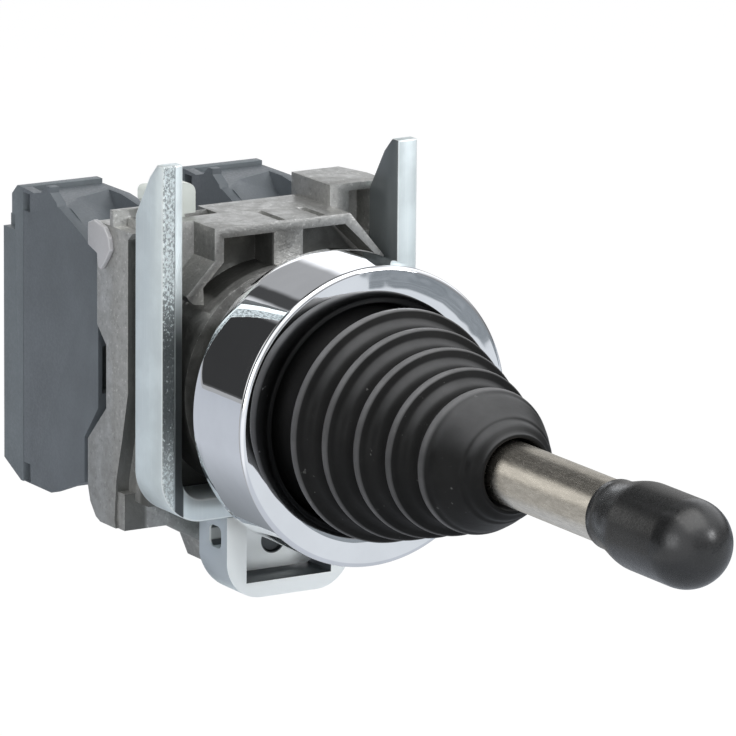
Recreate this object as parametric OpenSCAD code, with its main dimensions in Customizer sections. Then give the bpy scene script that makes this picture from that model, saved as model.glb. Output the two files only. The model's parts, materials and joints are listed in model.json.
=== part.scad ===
// Panel joystick for a 22 mm hole: sprung two-way lever in a bellows gaiter,
// operator tube, die-cast fixing collar with a steel clamp, two contact blocks.
// X is to the right seen from the front, Y goes into the panel, Z is up.
// The origin is on the operator axis, in the front plane of the panel.

/* [Panel] */
// Diameter of the hole in the panel
panel_hole_d = 22.5; // [22.3:0.1:23]
// Thickest panel that the clamp takes
panel_max_t = 6; // [5:0.5:7]
// Thinnest panel that the clamp reaches
panel_min_t = 1; // [1:0.5:2]

/* [Head] */
// Outer diameter of the bezel
bezel_d = 32; // [31.5:0.1:34]
// Height of the bezel in front of the panel
bezel_h = 10.7; // [10:0.1:13]
// Radial width of the bezel's face, from its bore to its edge
bezel_face_w = 4.1; // [3.8:0.1:4.3]
// Depth of the dish in the front of the bezel
bezel_dish = 0.5; // [0.3:0.1:2]
// Radius of the rounded front edge
bezel_edge_r = 1.1; // [0.6:0.1:1.5]
// Thickness of the gasket
gasket_t = 0.5; // [0.4:0.1:1]
// Outer diameter of the operator tube
tube_d = 22; // [21.6:0.1:22.2]
// Wall of the operator tube
tube_wall = 1.8; // [1.6:0.1:2]
// Length of the tube behind the panel front
tube_depth = 18.9; // [18.9:0.1:19.3]
// Wall of the bezel round the flange of the tube
bezel_wall = 2.25; // [2:0.05:2.5]
// Thickness of the flange on the tube
flange_t = 2.4; // [2:0.1:2.6]
// Thickness of the guide plate
gate_t = 1.5; // [1.2:0.1:1.8]

/* [Lever] */
// Diameter of the lever shaft
shaft_d = 6.6; // [6:0.1:7]
// Reach of the knob tip in front of the panel
lever_reach = 74.1; // [70:0.5:80]
// Distance of the pivot behind the panel front
pivot_depth = 3; // [2.8:0.1:3.4]
// Diameter of the pivot pin
pin_d = 3; // [2.6:0.1:3.2]
// Tilt of the lever to each side, in degrees
tilt_max = 18; // [12:1:18]
// Largest diameter of the knob
knob_d = 9.1; // [8.6:0.1:11]
// Length of the knob
knob_l = 17.4; // [15:0.1:20]
// Length of the flare at the rear of the knob
knob_flare_l = 6; // [4:0.5:7]
// Distance from the lever axis to a nose of the rocker
nose_x = 5; // [4.8:0.1:5.2]
// Radius of a nose of the rocker
nose_r = 1.2; // [1:0.1:1.3]

/* [Gaiter] */
// Wall of the gaiter
gaiter_wall = 0.9; // [0.6:0.1:1.1]
// Number of bellows crests between the bezel and the nose cup
crests = 4; // [3:1:5]
// Radius of the first crest
crest_first_r = 12.4; // [11.5:0.1:13.5]
// Radius of the nose cup
cup_r = 7.6; // [7.2:0.1:8.6]
// Length of the nose cup in front of its rim
cup_l = 6.4; // [6:0.1:7.5]
// Distance of the first crest in front of the panel
crest_first_y = 14.8; // [14.4:0.1:15.4]
// Distance between crests
crest_pitch = 4.3; // [4:0.1:4.6]
// Depth of the grooves between crests
groove_depth = 2.3; // [1.6:0.1:2.8]

/* [Fixing collar] */
// Distance of the collar's front frame behind the panel front
collar_y = 8.5; // [8.3:0.1:8.8]
// Distance of the collar's rear edge behind the panel front
collar_rear = 21.3; // [21.2:0.1:21.8]
// Wall of the collar's boss round the operator tube
boss_wall = 1.55; // [1.4:0.05:1.8]
// Wall of the collar's sides
side_wall = 2.2; // [1.8:0.1:2.4]
// Height of the collar's top face above the axis
collar_top = 17.2; // [17:0.1:18]
// Height of the right rear pillar above the axis
pillar_top = 19.4; // [19:0.1:20]
// Height of the low left pillar above the axis
low_pillar_top = 18.1; // [17.8:0.1:18.6]
// Depth of the collar's bottom face below the axis
collar_bottom = 16.3; // [16:0.1:17]
// Turn of the locking ring from locked to free, in degrees
lock_turn = 10; // [8:1:10]

/* [Clamp] */
// Thickness of the bracket steel
bracket_t = 2.45; // [2:0.05:2.5]
// Depth of the bracket along the axis
bracket_depth = 5.9; // [5:0.1:5.9]
// Height of the arm tips above the axis
arm_top = 24.9; // [23:0.1:27]
// Gap between the operator tube and the bracket web
web_gap = 0.3; // [0.3:0.05:0.4]
// Outside width of the stirrup under the web
stirrup_w = 15.2; // [14:0.1:16.4]
// Diameter of the clamp screw
clamp_screw_d = 3.5; // [3:0.1:4]

/* [Contact blocks] */
// Distance between the centres of the two blocks
block_pitch = 20; // [20:0.1:20.4]
// Width of one block
block_w = 9.8; // [9.4:0.1:9.9]
// Distance of the blocks' rear face behind the panel front
block_rear = 42.7; // [42:0.1:46]
// Height of the blocks' top above the axis
block_top = 16.8; // [16.6:0.1:18]
// Depth of the blocks' bottom below the axis
block_bottom = 15.7; // [15.4:0.1:17]
// Wall of the block housings
block_wall = 1.1; // [0.9:0.1:1.3]
// Diameter of the contact plunger
plunger_d = 3.4; // [3:0.1:3.8]
// Diameter of the terminal screws' shanks
term_screw_d = 3.2; // [2.8:0.1:3.5]

/* [Hidden] */
$fn = 64;
eps = 0.01;

// Clearances
run_fit = 0.05;
slide_gap = 0.15;
free_gap = 0.3;

// Head stack, along Y
tube_r = tube_d / 2;
tube_bore_r = tube_r - tube_wall;
bezel_r = bezel_d / 2;
flange_r = bezel_r - bezel_wall - slide_gap;
flange_y = -gasket_t - flange_t;
gate_y = flange_y - gate_t;
clamp_ring_t = 0.7;
clamp_ring_y = gate_y - clamp_ring_t;
gaiter_flange_t = 1.1;
gaiter_flange_y = clamp_ring_y - gaiter_flange_t;
bezel_bore_r = bezel_r - bezel_face_w;
pocket_r = flange_r + slide_gap;
bezel_edge_deg = 10;

// Lever
shaft_r = shaft_d / 2;
knob_r = knob_d / 2;
pin_r = pin_d / 2;
shaft_rear = pivot_depth + 3;
shaft_front = -lever_reach + 4;
rocker_r = 4.6;
rocker_front = -1;
rocker_rear = 7.4;
rocker_half_h = 2.5;
nose_y = 6.8;
push_travel = nose_x * 1.01 * tilt_max * PI / 180;

// Gaiter
neck_r = bezel_bore_r - free_gap;
cup_y = crest_first_y + crests * crest_pitch;
nose_front = cup_y + cup_l;
nose_hole_r = shaft_r + 0.75;
lip_r = shaft_r + run_fit;

// Pushers
push_x = nose_x + 0.2;
pad_y = nose_y + nose_r + slide_gap;
pad_t = 1.2;
stem_r = 1.4;
guide_t = 1.8;
guide_y = tube_depth - guide_t;
foot_t = 1.6;
foot_y = tube_depth + push_travel + free_gap + 0.1;
foot_half_h = 2.2;
spring_wire = 0.5;
spring_turns = 4;

// Locking ring
ring_t = 2;
ring_y = 15.4;
ring_r = 12.6;
ring_bore_r = tube_r + 0.2;
groove_r = tube_r - 0.7;
tab_r = groove_r + slide_gap;
ring_cavity_r = ring_r + 0.2;
lever_deg = 29;
lever_w = 3;
tab_end_x = 6.6;
tab_start_x = 12.5;
tab_bottom = collar_top + free_gap;
tab_top = 20.8;
lock_tab_w = groove_r * sin(lock_turn) / 2;

// Collar
collar_bore_r = tube_r + slide_gap;
collar_ring_r = collar_bore_r + boss_wall;
bracket_inner_w = 2 * collar_ring_r + 0.7;
bracket_w = bracket_inner_w + 2 * bracket_t;
collar_half_w = bracket_w / 2 - free_gap;
collar_mid_y = 12.95;
seat_y = ring_y - slide_gap;
seat_rear = ring_y + ring_t + slide_gap;
collar_cavity_x = collar_half_w - side_wall;
collar_cavity_z = 13.2;
neck_half_w = ring_cavity_r + 0.8;
frame_x = 8.2;
plate_x = 4;
plate_rear = 19.5;
wall_top = 16.4;
lip_y = 15.8;
pillar_x = 8.3;
pillar_front = 12.7;
low_pillar_front = seat_rear + 0.15;
low_pillar_rear = low_pillar_front + 0.8;
pillar_rear = collar_rear - 0.5;
pocket_deep = 4;
rim = 1.1;
lug_bottom = 21;
screw_z = -17.8;

// Clamp
clamp_travel = panel_max_t + 0.7 - panel_min_t;
bracket_y = panel_max_t + 0.7;
web_top = -tube_r - web_gap;
bracket_rear = bracket_y + bracket_depth;
bend_r = 2.6;
stirrup_bottom = -22.9;
stirrup_t = 2.4;
saddle_y = bracket_y + 3.4;
saddle_t = 1.8;
clamp_screw_r = clamp_screw_d / 2;

// Contact blocks
block_x = block_pitch / 2;
block_half_w = block_w / 2;
block_front = collar_rear + free_gap;
cover_y = block_rear - 4.5;
block_inner_w = block_w - 2 * block_wall;
funnel_y = block_front + 1.3;
funnel_z = 13;
window_y = foot_y + foot_t + push_travel + free_gap;
skin = 0.5;
plunger_r = plunger_d / 2;
bridge_y = 30.6;
bridge_t = 0.6;
tip_t = 0.7;
tip_r = 1.2;
tip_z = 5;
fixed_y = bridge_y + bridge_t + tip_t + push_travel + 0.1;
strip_t = 0.8;
strip_w = 5;
term_z = 9.4;
term_screw_r = term_screw_d / 2;
term_head_r = 2.8;
term_head_y = cover_y + 0.6;

// Places a shape turned about the local z axis so that this axis is Y
module along_y() rotate([-90, 0, 0]) children();
// Extrudes an outline drawn in X and Z from y0 to y1
module frontal(y0, y1) translate([0, y1, 0]) rotate([90, 0, 0]) linear_extrude(y1 - y0) children();
// Extrudes an outline drawn in Y and Z from x0 to x1
module lateral(x0, x1) translate([x0, 0, 0]) rotate([90, 0, 90]) linear_extrude(x1 - x0) children();
// Turns a profile of [radius, y] about the operator axis
module turned(points, sides = 128) along_y() rotate_extrude($fn = sides) polygon(points);
// A round bar along Y from y0 to y1
module bar(r, y0, y1, sides = 64) translate([0, y0, 0]) along_y() cylinder(r = r, h = y1 - y0, $fn = sides);
// Makes a shape and its mirror image left of the axis
module both_sides() {
    children();
    mirror([1, 0, 0]) children();
}
// A slot outline along X with round ends
module slot(half_l, half_h) {
    square([2 * (half_l - half_h), 2 * half_h], center = true);
    for (side = [-1, 1]) translate([side * (half_l - half_h), 0]) circle(half_h);
}

// A rectangle with round corners
module soft_rect(w, h, r) {
    square([w - 2 * r, h], center = true);
    square([w, h - 2 * r], center = true);
    for (x = [-1, 1], y = [-1, 1]) translate([x * (w / 2 - r), y * (h / 2 - r)]) circle(r);
}

// Points of an arc about c
function arc(c, r, from, to, steps) =
    [for (i = [0:steps]) let (a = from + (to - from) * i / steps) [c[0] + r * cos(a), c[1] + r * sin(a)]];

// A helical spring along +Y from the origin
module coil(r, wire, length, turns) {
    sides = 8;
    rings = turns * 16;
    rise = length - wire;
    points = [for (i = [0:rings]) let (a = 360 * turns * i / rings, up = wire / 2 + rise * i / rings)
        for (j = [0:sides - 1]) let (b = 360 * j / sides, d = r + wire / 2 * cos(b))
            [d * cos(a), up + wire / 2 * sin(b), d * sin(a)]];
    walls = [for (i = [0:rings - 1]) for (j = [0:sides - 1]) let (k = (j + 1) % sides)
        [i * sides + j, i * sides + k, (i + 1) * sides + k, (i + 1) * sides + j]];
    first = [for (j = [sides - 1:-1:0]) j];
    last = [for (j = [0:sides - 1]) rings * sides + j];
    polyhedron(points, concat(walls, [first, last]), convexity = 10);
}

// Head

module bezel() color("gainsboro") {
    front = -bezel_h;
    edge_c = [bezel_r - bezel_edge_r, front + bezel_edge_r];
    lip_y = front + bezel_dish;
    turned(concat(
        [[pocket_r, -gasket_t], [bezel_r - 0.15, -gasket_t], [bezel_r, -gasket_t - 0.5]],
        arc(edge_c, bezel_edge_r, 0, -90 - bezel_edge_deg, 8),
        [[bezel_bore_r + 0.35, lip_y], [bezel_bore_r, lip_y + 0.35],
         [bezel_bore_r, gaiter_flange_y], [pocket_r, gaiter_flange_y]]
    ), 160);
}

module panel_gasket() color("dimgray") {
    turned([
        [panel_hole_d / 2, -gasket_t], [bezel_r - 0.7, -gasket_t],
        [bezel_r - 0.7, 0], [panel_hole_d / 2, 0]
    ]);
}

module operator_tube() color("gray") difference() {
    union() {
        bar(flange_r, flange_y, -gasket_t, 96);
        bar(tube_r, -gasket_t - eps, tube_depth, 96);
    }
    bar(tube_bore_r, flange_y - 1, tube_depth + 1, 96);
    // Groove and three entry slots of the bayonet
    turned([[groove_r, seat_y], [tube_r + 1, seat_y], [tube_r + 1, seat_rear], [groove_r, seat_rear]]);
    for (turn = [30, 150, 270]) rotate([0, turn + lock_turn, 0])
        translate([groove_r, ring_y + ring_t, -lock_tab_w - run_fit])
            cube([2, tube_depth, 2 * (lock_tab_w + run_fit)]);
    // Holes of the pivot pin
    translate([0, pivot_depth, -tube_r - 1]) cylinder(r = pin_r, h = 2 * tube_r + 2);
}

module guide_plate() color("darkslategray") difference() {
    half_l = (pivot_depth - gate_y) * tan(tilt_max) + shaft_r / cos(tilt_max) + free_gap;
    bar(flange_r, gate_y, flange_y, 96);
    frontal(gate_y - 1, flange_y + 1) slot(half_l, shaft_r + slide_gap);
}

module gaiter_clamp_ring() color("silver") {
    turned([
        [bezel_bore_r - 1.4, clamp_ring_y], [flange_r, clamp_ring_y],
        [flange_r, gate_y], [bezel_bore_r - 1.4, gate_y]
    ]);
}

// Radius and distance of a crest; the last one is the rim of the nose cup
function crest_r(i) = crest_first_r + (cup_r - crest_first_r) * i / crests;
function crest_y(i) = crest_first_y + crest_pitch * i;

// Outer line of the gaiter as [radius, y], shifted inwards by in
function gaiter_line(in) = concat(
    [[neck_r - in, gaiter_flange_y], [neck_r - in, -bezel_h + 0.4]],
    [for (i = [0:crests - 1]) each concat(
        [[crest_r(i) - groove_depth * 0.45 - in, -crest_y(i) + 2.1]],
        arc([crest_r(i) - 0.8, -crest_y(i)], 0.8 - min(in, 0.6), 60, -70, 4),
        [[crest_r(i) - groove_depth - in, -crest_y(i) - 0.9], [crest_r(i) - groove_depth - in, -crest_y(i) - 1.5]]
    )]
);

module gaiter() color("#262626") {
    nose = [[cup_r - 1.1, -cup_y + 2.1], [cup_r - 0.1, -cup_y + 0.8], [cup_r, -cup_y]];
    dome = arc([cup_r - 1.5, -cup_y - 0.7], 1.5, 0, -60, 5);
    outer = concat([[flange_r - 0.2, clamp_ring_y], [flange_r - 0.2, gaiter_flange_y]], gaiter_line(0),
        nose, dome, [[nose_hole_r + 0.6, -nose_front + 0.2], [nose_hole_r + 0.3, -nose_front],
         [nose_hole_r, -nose_front + 0.4]]);
    cup_in = [[nose_hole_r, -nose_front + 2.2], [lip_r, -nose_front + 2.8], [lip_r, -nose_front + 5],
        [lip_r + 0.8, -nose_front + 5.6], [cup_r - gaiter_wall - 0.3, -cup_y], [cup_r - gaiter_wall - 1, -cup_y + 2.1]];
    back = gaiter_line(gaiter_wall);
    inner = [for (i = [len(back) - 1:-1:1]) back[i]];
    turned(concat(outer, cup_in, inner, [[neck_r - gaiter_wall, clamp_ring_y]]), 96);
}

// Lever

module pivot_pin() color("silver")
    translate([0, pivot_depth, -tube_r + 0.1]) cylinder(r = pin_r, h = 2 * tube_r - 0.2);

module lever_shaft() color("darkgray") difference() {
    bar(shaft_r, shaft_front, shaft_rear);
    translate([0, pivot_depth, -shaft_r - 1]) cylinder(r = pin_r + run_fit, h = shaft_d + 2);
}

module rocker() color("slategray") difference() {
    union() {
        bar(rocker_r, rocker_front, rocker_rear - 2);
        translate([-nose_x, rocker_rear - 2.8, -rocker_half_h]) cube([2 * nose_x, 2.8, 2 * rocker_half_h]);
        for (side = [-1, 1]) translate([side * nose_x, nose_y, -rocker_half_h])
            cylinder(r = nose_r, h = 2 * rocker_half_h);
    }
    bar(shaft_r + run_fit, rocker_front - 1, shaft_rear + run_fit);
    translate([0, pivot_depth, -rocker_r - 1]) cylinder(r = pin_r + run_fit, h = 2 * rocker_r + 2);
}

module knob() color("#1c1c1c") {
    start = -lever_reach + knob_l;
    ball_y = -lever_reach + knob_r;
    waist_r = shaft_r + 0.15;
    flare = [for (i = [0:8]) let (t = i / 8)
        [waist_r + (knob_r - waist_r) * (1 - cos(180 * t)) / 2, start - 0.6 - (knob_flare_l - 0.6) * t]];
    turned(concat(
        [[shaft_r + run_fit, start], [waist_r, start]], flare,
        arc([0, ball_y], knob_r, 0, -90, 16),
        [[0, shaft_front - run_fit], [shaft_r + run_fit, shaft_front - run_fit]]
    ), 96);
}

// Pushers

module pusher_guide() color("dimgray") difference() {
    bar(tube_bore_r, guide_y, tube_depth, 96);
    for (side = [-1, 1]) translate([side * push_x, 0, 0]) bar(stem_r + run_fit, guide_y - 1, tube_depth + 1);
    bar(1.5, guide_y - 1, tube_depth + 1);
}

module pusher(side) color("gainsboro") {
    foot_end = block_x + plunger_r;
    translate([side * push_x, 0, 0]) {
        frontal(pad_y, pad_y + pad_t) intersection() {
            square([3.4, 5.2], center = true);
            circle(2.9);
        }
        bar(stem_r, pad_y + pad_t - eps, foot_y + eps);
    }
    frontal(foot_y, foot_y + foot_t) translate([side * (push_x - stem_r + foot_end) / 2, 0])
        slot((foot_end - push_x + stem_r) / 2 + 0.4, foot_half_h);
}
module left_pusher() pusher(-1);
module right_pusher() pusher(1);

module pusher_spring(side) color("silver")
    translate([side * push_x, pad_y + pad_t + eps, 0])
        coil(stem_r + run_fit + spring_wire, spring_wire, guide_y - pad_y - pad_t - 2 * eps, spring_turns);
module left_pusher_spring() pusher_spring(-1);
module right_pusher_spring() pusher_spring(1);

// Fixing collar

// Front frame seen from the front
module frame_outline() polygon([
    [-frame_x, collar_top], [-frame_x, 13.7], [-frame_x - 3.4, 10.3], [-frame_x - 3, 9.7],
    [-frame_x - 2.4, 9.3], [-frame_x - 0.3, 9.05], [0, 2], [12.2, 2], [12.5, 12.2], [pillar_x, collar_top]
]);

module frame_pockets() difference() {
    union() {
        polygon([[-frame_x + rim, collar_top - rim], [-1, collar_top - rim], [-1, 8], [-9.4, 8],
            [-frame_x - 1.4, 11], [-frame_x + rim, 13.5]]);
        polygon([[2.5, collar_top - rim], [pillar_x - 0.6, collar_top - rim], [11.6, 12.3], [11.6, 7],
            [7, 10.7], [2.5, 13.4]]);
    }
    circle(collar_ring_r - 0.2, $fn = 96);
}

// Outline of a side wall in Y and Z, with its own upper front
module wall_outline(upper) polygon(concat(upper, [
    [collar_rear, 13.2], [collar_rear, 5.2], [collar_rear - 2, 3.3], [collar_rear - 2, -3.6],
    [collar_rear + 2, -7.7], [collar_rear + 2, -12.9], [collar_rear + 1.5, -14.5],
    [collar_rear + 0.3, -15.9], [collar_rear - 0.7, -collar_bottom], [17.2, -collar_bottom],
    [17.5, -15.4], [17.1, -11], [15.8, -6.2], [14.6, -1]
]));

module lug_outline() polygon([
    [-10.6, -collar_bottom + 1], [-8.9, -16.7], [-7.6, -17.5], [-5.8, -18.5], [-4.8, -lug_bottom],
    [4.8, -lug_bottom], [5.8, -18.5], [7.6, -17.5], [8.9, -16.7], [10.6, -collar_bottom + 1]
]);

// A point beside the turned locking lever, at distance d from the axis
function beside_lever(d) = let (a = lever_deg - lock_turn, gap = lever_w / 2 + free_gap)
    [gap * cos(a) - d * sin(a), gap * sin(a) + d * cos(a)];

module fixing_collar() color("#6e6a66") difference() {
    union() {
        // Boss and front frame
        frontal(bracket_y + 0.1, collar_y) circle(collar_ring_r, $fn = 96);
        frontal(collar_y - eps, collar_mid_y) {
            circle(collar_ring_r, $fn = 96);
            frame_outline();
        }
        // Body round the seat of the locking ring, and the plate behind it
        frontal(collar_mid_y - eps, seat_rear + eps) translate([-neck_half_w, -collar_cavity_z])
            square([2 * neck_half_w, collar_top + collar_cavity_z]);
        translate([-plate_x, seat_rear, collar_cavity_z])
            cube([plate_x + pillar_x + eps, plate_rear - seat_rear, collar_top - collar_cavity_z]);
        // Left wall with its low and thin pillar
        lateral(-collar_half_w, -collar_cavity_x) wall_outline([
            [14.6, 15.6], [13.6, wall_top], [low_pillar_front, wall_top],
            [low_pillar_front, low_pillar_top], [low_pillar_rear, low_pillar_top],
            [low_pillar_rear, wall_top], [collar_rear, wall_top]
        ]);
        translate([-collar_half_w + 1, low_pillar_front, collar_cavity_z]) cube([
            collar_half_w - 1 - pillar_x, low_pillar_rear - low_pillar_front, low_pillar_top - collar_cavity_z
        ]);
        // Right wall with its tall pillar
        lateral(collar_cavity_x, collar_half_w) wall_outline([
            [14.6, 15], [pillar_front, 16.4], [pillar_front, pillar_top], [pillar_rear, pillar_top]
        ]);
        translate([pillar_x, pillar_front, collar_cavity_z])
            cube([collar_half_w - 1 - pillar_x, pillar_rear - pillar_front, pillar_top - collar_cavity_z]);
        // Bottom lip and screw lug
        translate([-collar_half_w + 0.3, lip_y, -collar_bottom])
            cube([2 * collar_half_w - 0.6, collar_rear - lip_y, collar_bottom - collar_cavity_z + 0.9]);
        frontal(lip_y, collar_rear - 1.3) lug_outline();
    }
    // Bore of the operator tube, with a flat for the bracket web
    bar(collar_bore_r, 0, seat_y + 1, 96);
    translate([-20, 0, -40]) cube([40, bracket_rear + free_gap, 40 + web_top + free_gap]);
    // Seat of the locking ring
    bar(ring_cavity_r, seat_y, seat_rear + 1, 96);
    // Space for the pushers and the mounting feet of the blocks
    translate([-collar_cavity_x, seat_rear, -collar_cavity_z + 0.9])
        cube([2 * collar_cavity_x, 20, 2 * collar_cavity_z - 0.9]);
    // Pockets and top grooves of the front frame
    frontal(collar_y - 1, collar_y + pocket_deep) frame_pockets();
    translate([-0.2, 8.9, collar_top - 0.6]) cube([0.9, 5.2, 2]);
    translate([4.7, 8.9, collar_top - 0.6]) cube([0.9, 4.7, 2]);
    // Pocket and cut rear corner of the tall pillar
    translate([10.6, pillar_front - 1, 14]) cube([2.8, 4, pillar_top - 14 - 0.8]);
    translate([0, 0, 16.8]) linear_extrude(10) polygon([
        [collar_half_w + 0.1, 16.2], [collar_half_w + 3, 16.2], [collar_half_w + 3, pillar_rear + 1],
        [collar_half_w - 1.3, pillar_rear + 1]
    ]);
    // Way of the locking lever
    frontal(seat_y, seat_rear) polygon([
        [-collar_cavity_x, 9], beside_lever(9), beside_lever(24), [-collar_cavity_x, 24]
    ]);
    // Thread of the clamp screw
    translate([0, 0, screw_z]) bar(clamp_screw_r + run_fit, 10, 30);
}

module locking_ring() color("#d8d5c8") difference() {
    tab_half_w = lock_tab_w - run_fit;
    union() {
        bar(ring_r, ring_y, ring_y + ring_t, 96);
        rotate([0, -lever_deg, 0]) translate([-lever_w / 2, ring_y, 0])
            cube([lever_w, ring_t, tab_bottom / cos(lever_deg)]);
        frontal(ring_y, ring_y + ring_t) polygon(concat(
            [[-tab_start_x, tab_bottom + 1.9], [-tab_start_x + 1.3, tab_bottom], [-tab_end_x, tab_bottom]],
            arc([-tab_end_x - 1.1, tab_top - 1.1], 1.1, 0, 90, 6),
            arc([-tab_start_x + 0.6, tab_top - 0.6], 0.6, 90, 180, 4)
        ));
    }
    bar(tab_r, ring_y - 1, ring_y + ring_t + 1, 96);
    // Between the three bayonet tabs the bore opens to the tube
    difference() {
        bar(ring_bore_r, ring_y - 1, ring_y + ring_t + 1, 96);
        for (turn = [30, 150, 270]) rotate([0, turn, 0])
            translate([groove_r - 2, ring_y - 2, -tab_half_w]) cube([4, ring_t + 4, 2 * tab_half_w]);
    }
}

module ring_retainer() color("silver") frontal(seat_rear, seat_rear + 0.8) difference() {
    square([2 * collar_cavity_x - 0.2, 2 * collar_cavity_z - 2.2], center = true);
    circle(tube_r + slide_gap, $fn = 96);
}

module latch_hooks() color("#a9a9ac") both_sides()
    lateral(collar_half_w, collar_half_w + 0.55) polygon([
        [collar_rear + 1.1, 16.1], [collar_rear - 0.2, 16.6], [collar_rear - 2.4, 16.2],
        [collar_rear - 3.4, 15.2], [collar_rear - 3.7, 13.9], [collar_rear - 2.8, 12.7],
        [collar_rear - 1.7, 11.5], [collar_rear - 1.1, 11.7], [collar_rear - 0.9, 13.1], [collar_rear + 1.1, 13.7]
    ]);

// Clamp

module clamp_bracket() color("#b9c3c6") {
    half_w = bracket_w / 2;
    bottom = web_top - bracket_t;
    difference() {
        frontal(bracket_y, bracket_rear) difference() {
            union() {
                translate([-half_w, web_top + bend_r]) square([bracket_w, arm_top - web_top - bend_r]);
                translate([-half_w + bend_r + bracket_t, bottom])
                    square([bracket_w - 2 * (bend_r + bracket_t), bend_r + bracket_t + eps]);
                for (side = [-1, 1]) translate([side * (half_w - bend_r - bracket_t), web_top + bend_r])
                    circle(bend_r + bracket_t);
            }
            translate([-half_w + bracket_t, web_top + bend_r]) square([bracket_w - 2 * bracket_t, 60]);
            translate([-half_w + bend_r + bracket_t, web_top]) square([bracket_w - 2 * (bend_r + bracket_t), 60]);
            for (side = [-1, 1]) translate([side * (half_w - bend_r - bracket_t), web_top + bend_r])
                circle(bend_r);
        }
        // Rear corners of the arm tips
        lateral(-half_w - 1, half_w + 1) polygon([
            [bracket_rear + 1, arm_top - 7], [bracket_rear, arm_top - 6.2], [bracket_rear - 3, arm_top - 1.6],
            [bracket_rear - 4.6, arm_top], [bracket_rear - 4.6, arm_top + 1], [bracket_rear + 1, arm_top + 1]
        ]);
    }
}

module screw_stirrup() color("#b9c3c6") {
    half_w = stirrup_w / 2;
    top = web_top - bracket_t;
    round_r = 4.2;
    difference() {
        frontal(bracket_y, bracket_rear) difference() {
            union() {
                translate([-half_w, stirrup_bottom + round_r])
                    square([stirrup_w, top - stirrup_bottom - round_r]);
                translate([-half_w + round_r, stirrup_bottom]) square([stirrup_w - 2 * round_r, round_r + eps]);
                for (side = [-1, 1]) translate([side * (half_w - round_r), stirrup_bottom + round_r])
                    circle(round_r);
            }
            translate([-half_w + stirrup_t, stirrup_bottom + 1.7])
                square([stirrup_w - 2 * stirrup_t, top - stirrup_bottom]);
        }
        // Windows in the cheeks
        lateral(-20, 20) translate([bracket_y + 2.5, -16.3]) soft_rect(2.5, 2.4, 0.7);
        // Rear lower corner of the cheeks
        lateral(-20, 20) polygon([
            [bracket_rear + 1, stirrup_bottom + 5], [bracket_rear, stirrup_bottom + 4],
            [bracket_rear - 1.6, stirrup_bottom - 1], [bracket_rear + 1, stirrup_bottom - 1]
        ]);
    }
    // Saddle that takes the tip of the screw
    saddle_w = stirrup_w - 2 * stirrup_t + 2 * eps;
    frontal(saddle_y, saddle_y + saddle_t) difference() {
        union() {
            translate([-saddle_w / 2, screw_z]) square([saddle_w, top - screw_z]);
            translate([0, screw_z]) soft_rect(saddle_w, 5.4, 1.4);
        }
        translate([0, screw_z]) circle(clamp_screw_r - 0.4);
    }
}

module clamp_screw() color("silver") translate([0, 0, screw_z]) {
    head_y = collar_rear + clamp_travel + free_gap;
    difference() {
        union() {
            bar(clamp_screw_r - 0.5, saddle_y + 0.3, saddle_y + saddle_t + eps);
            bar(clamp_screw_r, saddle_y + saddle_t, head_y + eps);
            bar(clamp_screw_r + 1.1, head_y, head_y + 2.2);
        }
        translate([-0.4, head_y + 1, -5]) cube([0.8, 3, 10]);
        translate([-5, head_y + 1, -0.4]) cube([10, 3, 0.8]);
    }
}

// Contact blocks

// Side outline of the housing in Y and Z, up to the rear cover
module housing_outline() polygon([
    [block_front, block_top - 4.2], [block_front + 0.8, block_top - 3.8], [block_front + 4, block_top - 1.4],
    [30, block_top - 0.8], [32.3, block_top - 0.5], [cover_y, block_top - 0.5], [cover_y, -block_bottom],
    [32, -block_bottom], [block_front + 3, -12.9], [block_front + 3, -7.9], [block_front, -4.1]
]);

// Upper edge of the wall left of the funnel, with its bump
module funnel_wall_outline() polygon([
    [28.8, funnel_z], [31.3, block_top + 0.5], [31.8, block_top + 1.1], [33.2, block_top + 1.1],
    [34.2, block_top + 0.2], [35.8, block_top - 0.2], [cover_y, block_top], [cover_y, funnel_z]
]);

module cover_outline() polygon([
    [cover_y, block_top], [block_rear - 3.1, block_top], [block_rear - 1.9, block_top - 1.1],
    [block_rear - 1.9, block_top - 3.6], [block_rear, block_top - 3.7], [block_rear, -block_bottom + 1.7],
    [block_rear - 3.8, -block_bottom - 0.1], [cover_y, -block_bottom - 0.1]
]);

// Space of the wire funnel: its floor falls to the front and the right, its rear face is steeper
module funnel_space() {
    w = block_inner_w / 2;
    top = block_top + 4;
    function floor_z(x, y) = funnel_z - 0.452 * (x + w) + 0.452 * (y - funnel_y);
    function rear_y(x, z) = 32.3 + (z - 17.3 + 0.592 * (x + w)) / 1.333;
    polyhedron([
        [-w, funnel_y, floor_z(-w, funnel_y)], [w, funnel_y, floor_z(w, funnel_y)],
        [w, 33.5, floor_z(w, 33.5)], [-w, 32.3, floor_z(-w, 32.3)],
        [-w, funnel_y, top], [w, funnel_y, top], [w, rear_y(w, top), top], [-w, rear_y(-w, top), top]
    ], [[0, 1, 2, 3], [7, 6, 5, 4], [4, 5, 1, 0], [5, 6, 2, 1], [6, 7, 3, 2], [7, 4, 0, 3]], convexity = 4);
}

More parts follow.
